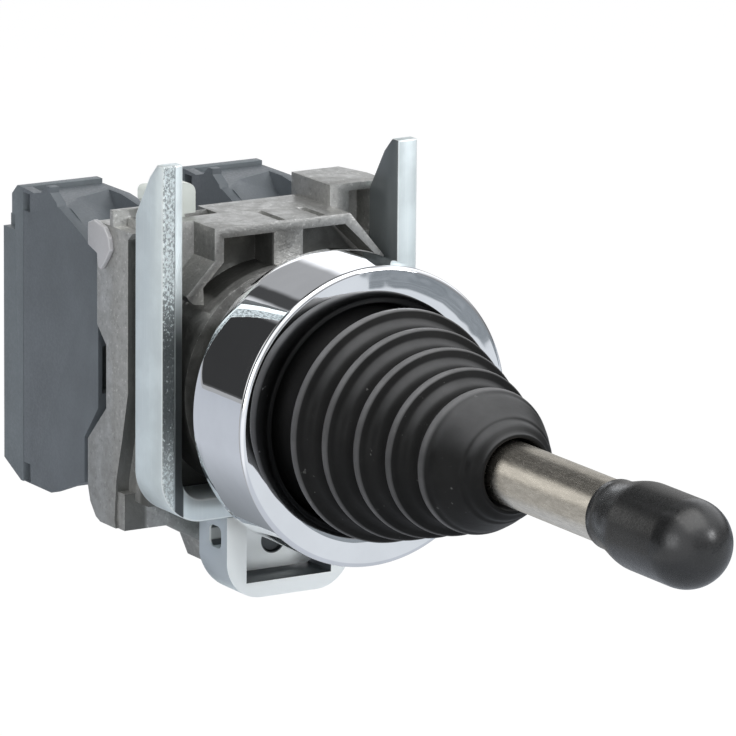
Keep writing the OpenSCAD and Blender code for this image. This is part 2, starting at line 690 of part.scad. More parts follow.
module block_housing(side) color("#5d6470") translate([side * block_x, 0, 0]) difference() {
    union() {
        lateral(-block_half_w, block_half_w) housing_outline();
        lateral(-block_half_w, -block_inner_w / 2) funnel_wall_outline();
        // Mounting feet that reach into the collar
        for (z = [10.6, -12.1]) translate([-3, block_front - 2, z]) cube([6, 5.5, 1.5]);
    }
    // Contact chamber, open towards the cover
    translate([-block_inner_w / 2, window_y + block_wall, -7.6])
        cube([block_inner_w, cover_y - window_y, 15.2]);
    // Terminal chambers
    for (z = [-13, 7.5]) translate([-block_inner_w / 2, 28.5, z]) cube([block_inner_w, 20, 5.5]);
    // Notch of the pusher foot, open to the front and towards the axis, and bore of the plunger
    translate([side < 0 ? skin - block_half_w : -block_half_w - 1, block_front - 1, -foot_half_h - 0.4])
        cube([block_w - skin + 1, window_y - block_front + 1, 2 * foot_half_h + 0.8]);
    bar(plunger_r + run_fit, 0, window_y + block_wall + 1);
    // Wire funnel and the cut of its left wall
    funnel_space();
    lateral(-block_half_w - 1, -block_inner_w / 2 + eps) polygon([
        [20, funnel_z], [22, funnel_z], [23.8, 13.4], [25.6, 14.3], [30, 16], [32.2, 17.3], [32.2, 25], [20, 25]
    ]);
    // Way for the wire at the bottom
    lateral(-block_inner_w / 2, block_inner_w / 2)
        polygon([[33.6, -block_bottom - 2], [33, -12], [28.5, -12], [27.4, -block_bottom - 2]]);
    // Latch windows
    for (edge = [block_top - 2.5, -block_bottom + 0.1]) translate([-block_half_w - 1, cover_y - 1.5, edge])
        cube([block_wall + 0.6, 1.5, 2]);
}
module left_block_housing() block_housing(-1);
module right_block_housing() block_housing(1);

module block_cover(side) color("#5d6470") translate([side * block_x, 0, 0]) difference() {
    union() {
        lateral(-block_half_w, block_half_w) intersection() {
            cover_outline();
            translate([cover_y + 0.15, -20]) square([20, 40]);
        }
        // Post of the return spring
        bar(1, cover_y - 2.4, cover_y + 1);
    }
    // Notch in the upper rear corner
    translate([-block_half_w - 1, block_rear - 2.6, 11.8]) cube([1.9, 5, 1.7]);
    // Screw wells
    for (z = [-term_z, term_z]) translate([0, 0, z]) bar(term_head_r + 0.3, cover_y - 1, block_rear + 1);
}
module left_block_cover() block_cover(-1);
module right_block_cover() block_cover(1);

module plunger(side) color("#d9d4c4") translate([side * block_x, 0, 0]) difference() {
    union() {
        bar(plunger_r, foot_y + foot_t, bridge_y);
        translate([-2.6, bridge_y - 2.4, -2.4]) cube([5.2, 2.4 + bridge_t + 1, 4.8]);
    }
    translate([-1.7, bridge_y, -10]) cube([3.4, bridge_t, 20]);
}
module left_plunger() plunger(-1);
module right_plunger() plunger(1);

module contact_bridge(side) color("#c9a36a") translate([side * block_x, 0, 0]) {
    translate([-1.6, bridge_y + eps, -tip_z - tip_r]) cube([3.2, bridge_t - 2 * eps, 2 * (tip_z + tip_r)]);
    for (z = [-tip_z, tip_z]) translate([0, 0, z]) bar(tip_r, bridge_y + bridge_t - 2 * eps, bridge_y + bridge_t + tip_t);
}
module left_contact_bridge() contact_bridge(-1);
module right_contact_bridge() contact_bridge(1);

module return_spring(side) color("silver") {
    start = bridge_y + bridge_t + 1 + eps;
    translate([side * block_x, start, 0]) coil(1.5, spring_wire, cover_y + 0.15 - start - eps, spring_turns);
}
module left_return_spring() return_spring(-1);
module right_return_spring() return_spring(1);

// Two stepped strips, from the fixed contact tips to the terminals
module fixed_contacts(side) color("#b08d57") translate([side * block_x, 0, 0])
    for (end = [0, 1]) mirror([0, 0, end]) difference() {
        union() {
            translate([0, 0, tip_z]) bar(tip_r, fixed_y, fixed_y + 0.7);
            translate([-strip_w / 2, fixed_y + 0.7 - eps, tip_z - 1.4]) cube([strip_w, strip_t, term_z - tip_z + 4.2]);
        }
        translate([0, 0, term_z]) bar(term_screw_r + 0.15, fixed_y, fixed_y + 3);
    }
module left_fixed_contacts() fixed_contacts(-1);
module right_fixed_contacts() fixed_contacts(1);

module terminal_screws(side) color("silver") translate([side * block_x, 0, 0])
    for (z = [-term_z, term_z]) translate([0, 0, z]) difference() {
        union() {
            bar(term_screw_r, 29.4, term_head_y + eps);
            bar(term_head_r, term_head_y, term_head_y + 1.9);
        }
        translate([-5, term_head_y + 0.9, -0.4]) cube([10, 3, 0.8]);
        translate([-0.4, term_head_y + 0.9, -5]) cube([0.8, 3, 10]);
    }
module left_terminal_screws() terminal_screws(-1);
module right_terminal_screws() terminal_screws(1);

// Saddle washers under the screw heads
module terminal_clamps(side) color("silver") translate([side * block_x, 0, 0])
    for (z = [-term_z, term_z]) translate([0, 0, z]) difference() {
        intersection() {
            bar(term_head_r + 0.1, term_head_y - 1.3, term_head_y - 0.1);
            translate([-2.6, term_head_y - 2, -2.3]) cube([5.2, 3, 4.6]);
        }
        bar(term_screw_r + 0.15, term_head_y - 3, term_head_y + 1);
    }
module left_terminal_clamps() terminal_clamps(-1);
module right_terminal_clamps() terminal_clamps(1);

bezel();
panel_gasket();
operator_tube();
guide_plate();
gaiter_clamp_ring();
gaiter();
pivot_pin();
lever_shaft();
rocker();
knob();
pusher_guide();
left_pusher();
right_pusher();
left_pusher_spring();
right_pusher_spring();
fixing_collar();
locking_ring();
ring_retainer();
latch_hooks();
clamp_bracket();
screw_stirrup();
clamp_screw();
left_block_housing();
right_block_housing();
left_block_cover();
right_block_cover();
left_plunger();
right_plunger();
left_contact_bridge();
right_contact_bridge();
left_return_spring();
right_return_spring();
left_fixed_contacts();
right_fixed_contacts();
left_terminal_screws();
right_terminal_screws();
left_terminal_clamps();
right_terminal_clamps();
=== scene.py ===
"""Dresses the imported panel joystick: finishes, soft edges, bellows, studio and camera."""
import json
import logging
from dataclasses import dataclass, field
from enum import Enum
from math import cos, pi, radians, sin
from typing import Any, Optional, Sequence, Union

import bpy
from mathutils import Matrix, Vector

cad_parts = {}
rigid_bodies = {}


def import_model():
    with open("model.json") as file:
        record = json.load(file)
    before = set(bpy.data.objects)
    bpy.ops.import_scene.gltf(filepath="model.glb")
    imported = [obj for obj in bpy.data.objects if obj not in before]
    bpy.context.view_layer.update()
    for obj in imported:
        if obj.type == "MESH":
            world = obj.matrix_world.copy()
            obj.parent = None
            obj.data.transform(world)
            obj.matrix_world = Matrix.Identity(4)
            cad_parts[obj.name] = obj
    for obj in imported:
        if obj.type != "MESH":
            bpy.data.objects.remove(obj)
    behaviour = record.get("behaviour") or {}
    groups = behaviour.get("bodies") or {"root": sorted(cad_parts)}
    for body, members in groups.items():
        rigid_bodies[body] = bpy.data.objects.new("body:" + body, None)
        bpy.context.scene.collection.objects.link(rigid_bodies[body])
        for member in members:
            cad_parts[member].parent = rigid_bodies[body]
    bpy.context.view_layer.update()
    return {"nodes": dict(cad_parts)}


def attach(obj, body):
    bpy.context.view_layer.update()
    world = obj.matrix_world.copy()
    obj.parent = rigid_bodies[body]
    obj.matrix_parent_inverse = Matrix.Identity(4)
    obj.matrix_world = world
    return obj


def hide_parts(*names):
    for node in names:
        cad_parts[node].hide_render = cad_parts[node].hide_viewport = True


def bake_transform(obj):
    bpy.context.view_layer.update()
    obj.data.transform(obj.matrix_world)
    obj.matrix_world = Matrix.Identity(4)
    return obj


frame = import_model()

log = logging.getLogger("joystick")
MM = 0.001
Point = tuple[float, float]
Place = tuple[float, float, float]
Colour = tuple[float, float, float]


# Node expressions


@dataclass
class Expr:
    """An output socket of a node tree, on which Python operators add Math nodes."""

    paint: "Paint"
    socket: bpy.types.NodeSocket

    def other(self, output: str) -> "Expr":
        """Another output of the same node.

        Args:
            output: The output's name.

        Returns:
            That output.
        """
        return Expr(self.paint, self.socket.node.outputs[output])

    def math(self, operation: str, *others: "Value") -> "Expr":
        """Adds one Math node.

        Args:
            operation: The node's operation.
            others: The values after this one.

        Returns:
            The node's result.
        """
        values = {i: v for i, v in enumerate((self, *others))}
        return self.paint.node("ShaderNodeMath", {"operation": operation}, values)

    def __add__(self, other: "Value") -> "Expr":
        """Sum."""
        return self.math("ADD", other)

    __radd__ = __add__

    def __sub__(self, other: "Value") -> "Expr":
        """Difference."""
        return self.math("SUBTRACT", other)

    def __rsub__(self, other: float) -> "Expr":
        """Difference from a number."""
        return self.paint.number(other).math("SUBTRACT", self)

    def __mul__(self, other: "Value") -> "Expr":
        """Product."""
        return self.math("MULTIPLY", other)

    __rmul__ = __mul__

    def step(self, low: float, high: float) -> "Expr":
        """Rises smoothly from 0 to 1 between two values, or falls where low is the larger.

        Args:
            low: Where the result is 0.
            high: Where the result is 1.

        Returns:
            The smooth step.
        """
        start, end, a, b = (low, high, 0.0, 1.0) if low < high else (high, low, 1.0, 0.0)
        return self.paint.node("ShaderNodeMapRange", {"interpolation_type": "SMOOTHSTEP"},
                               {"Value": self, "From Min": start, "From Max": end,
                                "To Min": a, "To Max": b})

    def band(self, low: float, high: float, soft: float) -> "Expr":
        """Is 1 between two values and 0 outside, with soft ends.

        Args:
            low: Lower end.
            high: Upper end.
            soft: Width of each soft end.

        Returns:
            The band.
        """
        return self.step(low - soft, low + soft) * self.step(high + soft, high - soft)


Value = Union[float, Expr]


@dataclass
class Paint:
    """A node tree under construction, of a material or of the world."""

    tree: bpy.types.NodeTree

    def fill(self, socket: bpy.types.NodeSocket, value: Any) -> None:
        """Links or sets one input socket.

        Args:
            socket: The socket.
            value: An expression, a number, a vector or a colour.
        """
        if isinstance(value, Expr):
            self.tree.links.new(value.socket, socket)
        else:
            bare = socket.type == "RGBA" and len(value) == 3
            socket.default_value = (*value, 1.0) if bare else value

    def node(self, kind: str, settings: Optional[dict[str, Any]] = None,
             inputs: Optional[dict[Union[str, int], Any]] = None,
             output: Union[str, int] = 0) -> Expr:
        """Adds any node.

        Args:
            kind: The node's type.
            settings: The node's own settings, set first.
            inputs: Values or links of its sockets, by name or number.
            output: The output wanted.

        Returns:
            That output as an expression.
        """
        made = self.tree.nodes.new(kind)
        for key, value in (settings or {}).items():
            setattr(made, key, value)
        for key, value in (inputs or {}).items():
            self.fill(made.inputs[key], value)
        return Expr(self, made.outputs[output])

    def number(self, value: float) -> Expr:
        """A constant that starts an expression."""
        return self.node("ShaderNodeMath", {"operation": "ADD"}, {0: value, 1: 0.0})

    def blend(self, factor: Value, first: Any, second: Any) -> Expr:
        """Mixes two colours.

        Args:
            factor: Share of the second colour.
            first: First colour.
            second: Second colour.

        Returns:
            The mixed colour.
        """
        return self.node("ShaderNodeMix", {"data_type": "RGBA"},
                         {"Factor": factor, 6: first, 7: second}, 2)

    def axes(self, vector: Expr) -> tuple[Expr, Expr, Expr]:
        """Takes a vector apart.

        Args:
            vector: The vector.

        Returns:
            Its three parts.
        """
        first = self.node("ShaderNodeSeparateXYZ", None, {0: vector})
        return first, first.other("Y"), first.other("Z")

    def coordinates(self) -> Expr:
        """The place on the object in metres."""
        return self.node("ShaderNodeTexCoord", None, None, "Object")

    def millimetres(self, metres: Expr) -> Expr:
        """Turns a place in metres into one in millimetres."""
        return self.node("ShaderNodeVectorMath", {"operation": "SCALE"},
                         {0: metres, "Scale": 1 / MM})

    def glow(self, colour: Any, strength: Value) -> Expr:
        """A shader of plain light.

        Args:
            colour: Its colour.
            strength: Its strength.

        Returns:
            The shader.
        """
        return self.node("ShaderNodeEmission", None, {"Color": colour, "Strength": strength})

    def output(self, shader: Expr) -> None:
        """Links a shader to a new material output.

        Args:
            shader: The shader.
        """
        end = self.tree.nodes.new("ShaderNodeOutputMaterial")
        self.tree.links.new(shader.socket, end.inputs[0])


class Surface(Paint):
    """A principled material on object coordinates in millimetres."""

    def __init__(self, name: str) -> None:
        """Makes the material.

        Args:
            name: The material's name.
        """
        self.material = bpy.data.materials.new(name)
        self.material.use_nodes = True
        super().__init__(self.material.node_tree)
        self.shader = self.tree.nodes["Principled BSDF"]
        coordinates = self.coordinates()
        self.place = self.millimetres(coordinates)
        self.x, self.y, self.z = self.axes(self.place)
        self.across, self.front, self.up = self.axes(coordinates.other("Normal"))

    def put(self, **sockets: Any) -> None:
        """Sets sockets of the principled shader; underscores stand for spaces.

        Args:
            sockets: Values or expressions by socket name.
        """
        for name, value in sockets.items():
            self.fill(self.shader.inputs[name.replace("_", " ")], value)

    def marked(self, name: str) -> Expr:
        """The value of one of the mesh's own attributes.

        Args:
            name: The attribute: "worn" on rounded edges, "crest" on the gaiter's crests.

        Returns:
            Its value, 0 where the mesh has none.
        """
        return self.node("ShaderNodeAttribute", {"attribute_name": name}, None, "Fac")

    def noise(self, scale: float, detail: float = 3.0, rough: float = 0.55,
              finer: Optional[Place] = None) -> Expr:
        """Fractal noise from 0 to 1.

        Args:
            scale: Features per millimetre.
            detail: Number of octaves.
            rough: Share of each finer octave.
            finer: How many times finer it is along each axis, if not evenly so.

        Returns:
            The noise.
        """
        where = self.place
        if finer:
            where = self.node("ShaderNodeMapping", None, {"Vector": where, "Scale": finer})
        return self.node("ShaderNodeTexNoise", None, {
            "Vector": where, "Scale": scale, "Detail": detail, "Roughness": rough})

    def relief(self, height: Expr, strength: float, distance: float,
               under: Optional[Expr] = None) -> Expr:
        """A bump.

        Args:
            height: The height field.
            strength: Strength of the bump.
            distance: Height of 1, in millimetres.
            under: A bump below this one.

        Returns:
            The bent normal.
        """
        inputs: dict[Union[str, int], Any] = {
            "Strength": strength, "Distance": distance * MM, "Height": height}
        if under is not None:
            inputs["Normal"] = under
        return self.node("ShaderNodeBump", None, inputs)


# Finishes

# Where a finish changes, in millimetres: the two ends of a band, or 0 and 1 of a step.
# The pocket, lower, wall and foot zones bound painted shade on the casting; the smooth, arm,
# cheek, bottom, window and screw zones bound painted shade on the plate.
POCKET_X, POCKET_Y, POCKET_Z = (-8.3, -7.7), (8.8, 12.9), (7.6, 16.3)
POCKET_SLOPE, POCKET_SLANT = 0.84, (21.6, 21.0)
LOWER_X, LOWER_Y, LOWER_Z = (14.6, 14.0), (15.4, 14.2), (8.5, 6.5)
WALL_X, WALL_Z = (-11.9, -12.6), (16.2, 15.2)
FOOT_Z, FOOT_SHARE = (2.0, -14.0), 0.25
TEAR_X, TEAR_TOP, TEAR_MIDDLE = (-13.95, -14.15), (2.0, 12.0), (-6.0, 9.0)
SMOOTH_X, SMOOTH_Z = (-13.95, -12.9), (12.0, 5.0)
ARM_SIDE, ARM_X = (-8.0, -11.0), (13.4, 13.2)
CHEEK_SIDE, CHEEK_X = (-3.0, -4.0), (4.9, 5.5)
BOTTOM_Z = (-20.9, -21.0)
WINDOW_X, WINDOW_Y, WINDOW_Z = (5.0, 7.4), (7.95, 10.45), (-17.48, -15.12)
SCREW_DEPTH, SCREW_TIP, SCREW_Y = 17.8, (2.3, 2.0), (12.0, 11.5)
# Painted shade on the gaiter's neck behind the first crest.
NECK_SHADE_Y = (-14.2, -13.2)

# The same for the normal's part along an axis.
FORWARD, FORWARD_LOOSE, FORWARD_PALE = (-0.75, -0.95), (-0.55, -0.85), (-0.6, -0.9)
SIDEWAYS, UPWARD = (0.6, 0.9), (0.5, 0.8)


def shaded(colour: Colour, factor: float, lift: float = 0.0) -> Colour:
    """Makes a colour darker or paler.

    Args:
        colour: The colour.
        factor: Its factor.
        lift: What is added to each channel.

    Returns:
        The new colour, at most 1 in each channel.
    """
    return tuple(min(1.0, factor * c + lift) for c in colour)


@dataclass(frozen=True)
class Finish:
    """A finish with a name and the record's material slot that it stands for."""

    name: str
    slot: str

    def paint(self, surface: Surface) -> None:
        """Fills in the material; each finish has its own way."""
        raise NotImplementedError

    def material(self) -> bpy.types.Material:
        """This finish's material, made once and kept apart from the frame's own materials."""
        title = f"{self.name}_finish"
        known = bpy.data.materials.get(title)
        if known:
            return known
        surface = Surface(title)
        self.paint(surface)
        return surface.material


@dataclass(frozen=True)
class Chrome(Finish):
    """Polished chrome plating with faint ripples and wiping haze."""

    colour: Colour = (0.86, 0.87, 0.89)
    polish: float = 0.014
    haze: float = 0.02
    wipe: float = 0.016
    ripple: float = 0.05

    def paint(self, surface: Surface) -> None:
        """Mirror-like metal whose roughness drifts a little."""
        drift = surface.noise(0.22, 4.0)
        wiped = surface.noise(1.0, 3.0, 0.6, (0.35, 2.2, 0.35)).step(0.55, 0.8)
        dull = shaded(self.colour, 0.95)
        surface.put(Base_Color=surface.blend(drift.step(0.3, 0.75), self.colour, dull),
                    Metallic=1.0, Roughness=self.polish + self.haze * drift + self.wipe * wiped,
                    Normal=surface.relief(surface.noise(0.16, 2.0), self.ripple, 0.35))


@dataclass(frozen=True)
class CastMetal(Finish):
    """Tumbled zinc die casting: fine orange peel, dull patches, rubbed edges, painted shade in
    recesses.
    """

    colour: Colour = (0.47, 0.470, 0.455)
    metallic: float = 0.90
    roughness: float = 0.34
    recess_shade_colour: Colour = (0.115, 0.116, 0.108)
    wear_and_highlight: Colour = (0.92, 0.91, 0.88)

    def recess_shade(self, surface: Surface) -> Expr:
        """Share of painted shade at a place, from 0 in the open to 1.

        Args:
            surface: The material under construction.

        Returns:
            The share of painted shade.
        """
        x, y, z = surface.x, surface.y, surface.z
        # Painted shade: the pocket, the lower front behind the bezel, front faces beside the side
        # wall, and up to a quarter of it towards the foot.
        pocket = y.band(*POCKET_Y, 0.25) * z.band(*POCKET_Z, 0.3) * x.step(*POCKET_X)
        pocket = pocket * (x + POCKET_SLOPE * z).step(*POCKET_SLANT)
        lower = y.step(*LOWER_Y) * z.step(*LOWER_Z) * x.math("ABSOLUTE").step(*LOWER_X)
        behind = surface.front.step(*FORWARD_LOOSE) * x.step(*WALL_X) * z.step(*WALL_Z)
        foot = z.step(*FOOT_Z) * FOOT_SHARE
        return pocket.math("MAXIMUM", lower).math("MAXIMUM", behind).math("MAXIMUM", foot)

    def paint(self, surface: Surface) -> None:
        """Blotchy grey metal with cast grain and painted shade in its recesses."""
        patch = surface.noise(0.7, 5.0, 0.62)
        speck = surface.noise(2.1, 4.0, 0.7)
        body = surface.blend(patch.step(0.38, 0.66), shaded(self.colour, 0.86), self.colour)
        body = surface.blend(speck.step(0.56, 0.72) * 0.7, body, shaded(self.colour, 1.7))
        body = surface.blend(speck.step(0.46, 0.30) * 0.6, body, shaded(self.colour, 0.5))
        # Painted shade in the recesses and low down.
        body = surface.blend(self.recess_shade(surface) * 0.92, body, self.recess_shade_colour)
        worn = surface.marked("worn") * speck.step(0.30, 0.56) * 0.85
        body = surface.blend(worn, body, self.wear_and_highlight)
        grain = surface.relief(surface.noise(3.4, 3.0, 0.65), 0.35, 0.10)
        surface.put(Base_Color=body, Metallic=self.metallic,
                    Roughness=self.roughness + 0.2 * patch.step(0.7, 0.3),
                    Normal=surface.relief(surface.noise(0.8, 2.0), 0.25, 0.22, grain))


@dataclass(frozen=True)
class ZincPlate(Finish):
    """Blue-passivated zinc on steel."""

    colour: Colour = (0.74, 0.82, 0.835)
    metallic: float = 0.62
    line: Colour = (0.95, 0.97, 0.97)
    wear_and_highlight: Colour = (0.90, 0.95, 0.94)
    shade_colour: Colour = (0.020, 0.025, 0.028)
    pitted: Colour = (0.016, 0.022, 0.024)

    def shade(self, surface: Surface) -> Expr:
        """Share of painted shade at a place, none on plain pieces."""
        return surface.number(0.0)

    def torn(self, surface: Surface) -> Expr:
        """Share of torn metal at a place, none on plain pieces."""
        return surface.number(0.0)

    def tone(self, surface: Surface, body: Expr) -> Expr:
        """The plate's colour under the painted shade, as it is on plain pieces."""
        return body

    def paint(self, surface: Surface) -> None:
        """Satin bluish metal with rolling lines, pale edges, painted shade and fracture."""
        cloud = surface.noise(0.25, 4.0)
        lines = surface.noise(1.0, 3.0, 0.6, (5.0, 5.0, 0.12))
        body = surface.blend(cloud.step(0.35, 0.7), shaded(self.colour, 0.88), self.colour)
        body = surface.blend(lines.step(0.45, 0.8) * 0.16, body, self.line)
        body = surface.blend(surface.marked("worn") * 0.6, self.tone(surface, body), self.wear_and_highlight)
        # Painted shade where shade() marks it.
        body = surface.blend(self.shade(surface) * 0.93, body, self.shade_colour)
        torn = self.torn(surface)
        chips = surface.noise(2.7, 4.0, 0.78, (1.3, 1.0, 0.9))
        middle = surface.z.band(*TEAR_MIDDLE, 5.0)
        pits = (chips + 0.16 * middle).step(0.45, 0.58)
        share = 0.38 + 0.2 * surface.z.step(*TEAR_TOP) + 0.5 * middle
        body = surface.blend(torn * pits * share, body, self.pitted)
        grain = surface.relief(surface.noise(4.0, 2.0), 0.12, 0.03)
        normal = surface.relief(lines, 0.10, 0.06, grain)
        surface.put(Base_Color=body, Metallic=self.metallic,
                    Roughness=0.32 + 0.14 * cloud + 0.2 * torn,
                    Normal=surface.relief(chips * torn, 0.9, 0.30, normal))


@dataclass(frozen=True)
class BracketPlate(ZincPlate):
    """Plate of the bracket: torn front edge on the left arm, painted shade on the inner faces of
    both arms.
    """

    def torn(self, surface: Surface) -> Expr:
        """The outer part of the left arm's front edge."""
        return surface.front.step(*FORWARD) * surface.x.step(*TEAR_X)

    def shade(self, surface: Surface) -> Expr:
        """Painted shade on the smooth part of the same edge below the head, and on the inner
        faces.
        """
        x = surface.x
        # Painted shade below the head on the smooth strip, and on the arms' inner faces.
        smooth = surface.front.step(*FORWARD) * x.band(*SMOOTH_X, 0.1) * surface.z.step(*SMOOTH_Z)
        inside = (surface.across * x).step(*ARM_SIDE) * x.math("ABSOLUTE").step(*ARM_X) * 0.85
        return smooth.math("MAXIMUM", inside)


@dataclass(frozen=True)
class StirrupPlate(ZincPlate):
    """Plate of the stirrup and its screw, with painted shade inside and painted light on its faces
    by how they face.
    """

    # Painted light on front faces and painted shade on outer cheeks.
    lit_front_face: Colour = (0.97, 1.0, 0.98)
    shaded_cheek_face: Colour = (0.44, 0.49, 0.53)

    def shade(self, surface: Surface) -> Expr:
        """Painted shade on the inner faces of the cheeks and the bottom, in the windows and on the
        screw's tip.
        """
        x, y, z = surface.x, surface.y, surface.z
        wide = x.math("ABSOLUTE")
        cheek = (surface.across * x).step(*CHEEK_SIDE) * wide.band(*CHEEK_X, 0.1)
        bottom = surface.up.step(*UPWARD) * z.step(*BOTTOM_Z)
        window = wide.band(*WINDOW_X, 0.1) * y.band(*WINDOW_Y, 0.03) * z.band(*WINDOW_Z, 0.03)
        low = z + SCREW_DEPTH
        tip = (x * x + low * low).step(*SCREW_TIP) * y.step(*SCREW_Y)
        return cheek.math("MAXIMUM", bottom).math("MAXIMUM", window).math("MAXIMUM", tip)

    def tone(self, surface: Surface, body: Expr) -> Expr:
        """Painted light: pale greenish front faces, and painted shade on the outer cheeks."""
        # Painted light on faces turned to the front, painted shade on faces turned sideways.
        body = surface.blend(surface.front.step(*FORWARD_PALE) * 0.9, body, self.lit_front_face)
        outward = surface.across.math("ABSOLUTE").step(*SIDEWAYS) * 0.9
        return surface.blend(outward, body, self.shaded_cheek_face)


@dataclass(frozen=True)
class TurnedSteel(Finish):
    """Turned and nickel-plated bar with fine rings and drawing marks."""

    colour: Colour = (0.84, 0.79, 0.70)
    roughness: float = 0.20

    def paint(self, surface: Surface) -> None:
        """Warm satin metal with marks along the bar."""
        marks = surface.noise(1.0, 4.0, 0.65, (3.2, 0.7, 3.2))
        rings = surface.noise(1.0, 2.0, 0.5, (0.2, 9.0, 0.2))
        body = surface.blend(marks.step(0.35, 0.7), shaded(self.colour, 0.78), self.colour)
        drawn = surface.relief(marks, 0.18, 0.05)
        surface.put(Base_Color=body, Metallic=1.0, Roughness=self.roughness + 0.12 * marks,
                    Normal=surface.relief(rings, 0.12, 0.03, drawn))


@dataclass(frozen=True)
class Moulding(Finish):
    """Moulded plastic with an eroded texture and slightly paler worn corners."""

    colour: Colour
    roughness: float = 0.5
    grain: float = 3.0
    depth: float = 0.05
    cloudy: float = 0.10

    def paint(self, surface: Surface) -> None:
        """Matte colour, fine grain and soft flow clouds."""
        cloud = surface.noise(0.18, 4.0)
        fine = surface.noise(self.grain, 3.0, 0.6)
        low, high = shaded(self.colour, 1 - self.cloudy), shaded(self.colour, 1 + self.cloudy)
        body = surface.blend(cloud.step(0.3, 0.7), low, high)
        body = surface.blend(fine.step(0.62, 0.8) * 0.25, body, shaded(self.colour, 1.5, 0.01))
        worn = surface.marked("worn") * 0.45
        body = surface.blend(worn, body, shaded(self.colour, 1.5, 0.02))
        surface.put(Base_Color=body, Roughness=self.roughness + 0.14 * fine.step(0.3, 0.7),
                    Normal=surface.relief(fine, 0.45, self.depth))


@dataclass(frozen=True)
class Bellows(Finish):
    """Satin black rubber: a painted highlight along each crest, painted light on the upper
    shoulders, painted shade at the neck, faint dust and mould flow.
    """

    colour: Colour = (0.0088, 0.0088, 0.0086)
    # Painted highlight along each crest.
    wear_and_highlight: Colour = (0.26, 0.26, 0.263)
    # Painted light on the shoulders turned up and to the left.
    lit_side: Colour = (0.125, 0.126, 0.128)
    powder: Colour = (0.30, 0.30, 0.29)
    # Painted shade on the neck behind the first crest.
    neck: Colour = (0.0022, 0.0022, 0.0022)
    gloss: float = 0.085

    def paint(self, surface: Surface) -> None:
        """Black rubber that turns grey with a painted highlight where the crest attribute is high.
        """
        crest = surface.marked("crest")
        fine = surface.noise(2.2, 4.0, 0.65)
        cloud = surface.noise(0.3, 4.0, 0.6)
        dust = surface.noise(1.9, 2.0, 0.5).step(0.67, 0.76) * cloud.step(0.52, 0.68)
        body = surface.blend(cloud.step(0.3, 0.75), self.colour, shaded(self.colour, 1.45))
        # Painted light on the shoulders turned up and to the left.
        lit = (surface.up - 0.2 * surface.across).step(0.40, 1.0)
        lit = lit * surface.front.step(-0.98, -0.80) * (0.6 + 0.6 * cloud)
        body = surface.blend(lit * 0.8, body, self.lit_side)
        # Painted highlight along each crest, stronger where the painted light falls.
        wear_and_highlight = crest * (0.22 + 0.55 * cloud) * (0.55 + 0.45 * lit)
        body = surface.blend(wear_and_highlight, body, self.wear_and_highlight)
        body = surface.blend(dust * 0.35, body, self.powder)
        # Painted shade on the neck behind the first crest.
        body = surface.blend(surface.y.step(*NECK_SHADE_Y) * 0.9, body, self.neck)
        flow = surface.relief(cloud, 0.2, 0.2)
        surface.put(Base_Color=body, Roughness=0.36 + 0.14 * fine - 0.05 * crest,
                    Specular_IOR_Level=self.gloss, Normal=surface.relief(fine, 0.30, 0.05, flow))


@dataclass(frozen=True)
class Alloy(Finish):
    """Stamped or drawn metal of the inner pieces."""

    colour: Colour
    roughness: float = 0.3

    def paint(self, surface: Surface) -> None:
        """Metal with drawing lines and tarnish."""
        lines = surface.noise(1.0, 3.0, 0.6, (4.0, 0.4, 4.0))
        tarnish = surface.noise(0.6, 4.0)
        body = surface.blend(tarnish.step(0.4, 0.75), self.colour, shaded(self.colour, 0.7))
        surface.put(Base_Color=body, Metallic=1.0, Roughness=self.roughness + 0.2 * tarnish,
                    Normal=surface.relief(lines, 0.15, 0.04))


CHROME = Chrome("chrome_plate", "chrome_plate")
GASKET = Moulding("gasket_rubber", "gasket_rubber", (0.018, 0.018, 0.018), 0.72, 2.0, 0.05)
CASTING = CastMetal("zinc_casting", "zinc_casting")
TUBE_METAL = CastMetal("tube_casting", "zinc_casting", (0.16, 0.16, 0.16), 0.8, 0.38)
GATE_PLASTIC = Moulding("gate_plastic", "gate_plastic", (0.045, 0.046, 0.05))
RUBBER = Bellows("gaiter_rubber", "gaiter_rubber")
PLATE = ZincPlate("plated_steel", "plated_steel")
BRACKET_PLATE = BracketPlate("bracket_plate", "plated_steel")
STIRRUP_PLATE = StirrupPlate("stirrup_plate", "plated_steel", metallic=0.5)
BAR_STEEL = TurnedSteel("bright_steel", "bright_steel")
KNOB_PLASTIC = Moulding("knob_plastic", "knob_plastic", (0.016, 0.0163, 0.0165),
                        0.21, 3.5, 0.006, 0.25)
ROCKER_PLASTIC = Moulding("rocker_plastic", "rocker_plastic", (0.16, 0.17, 0.18))
ACETAL = Moulding("natural_plastic", "natural_plastic", (0.72, 0.70, 0.62), 0.42, 2.0, 0.03, 0.05)
BLOCK_PLASTIC = Moulding("block_plastic", "block_plastic", (0.124, 0.144, 0.156),
                         0.44, 3.2, 0.05, 0.08)
HOUSING_PLASTIC = Moulding("housing_plastic", "block_plastic", (0.102, 0.117, 0.130),
                           0.44, 3.2, 0.05, 0.08)
LATCH_METAL = Moulding("latch_metal", "latch_metal", (0.40, 0.40, 0.41), 0.40, 2.5, 0.03, 0.06)
LEVER_ZINC = Moulding("lever_zinc", "lever_zinc", (0.64, 0.68, 0.64), 0.36, 1.6, 0.04, 0.06)
CONTACT_ALLOY = Alloy("contact_alloy", "contact_alloy", (0.72, 0.55, 0.30))
SPRING_WIRE = Alloy("spring_steel", "spring_steel", (0.55, 0.55, 0.56))


# Modelling

TURN_WELD, CAD_WELD = 2e-6, 1e-6  # metres
FLAT_ANGLE, SHARP_ANGLE, SMOOTH_ANGLE = 0.6, 28.0, 38.0  # degrees


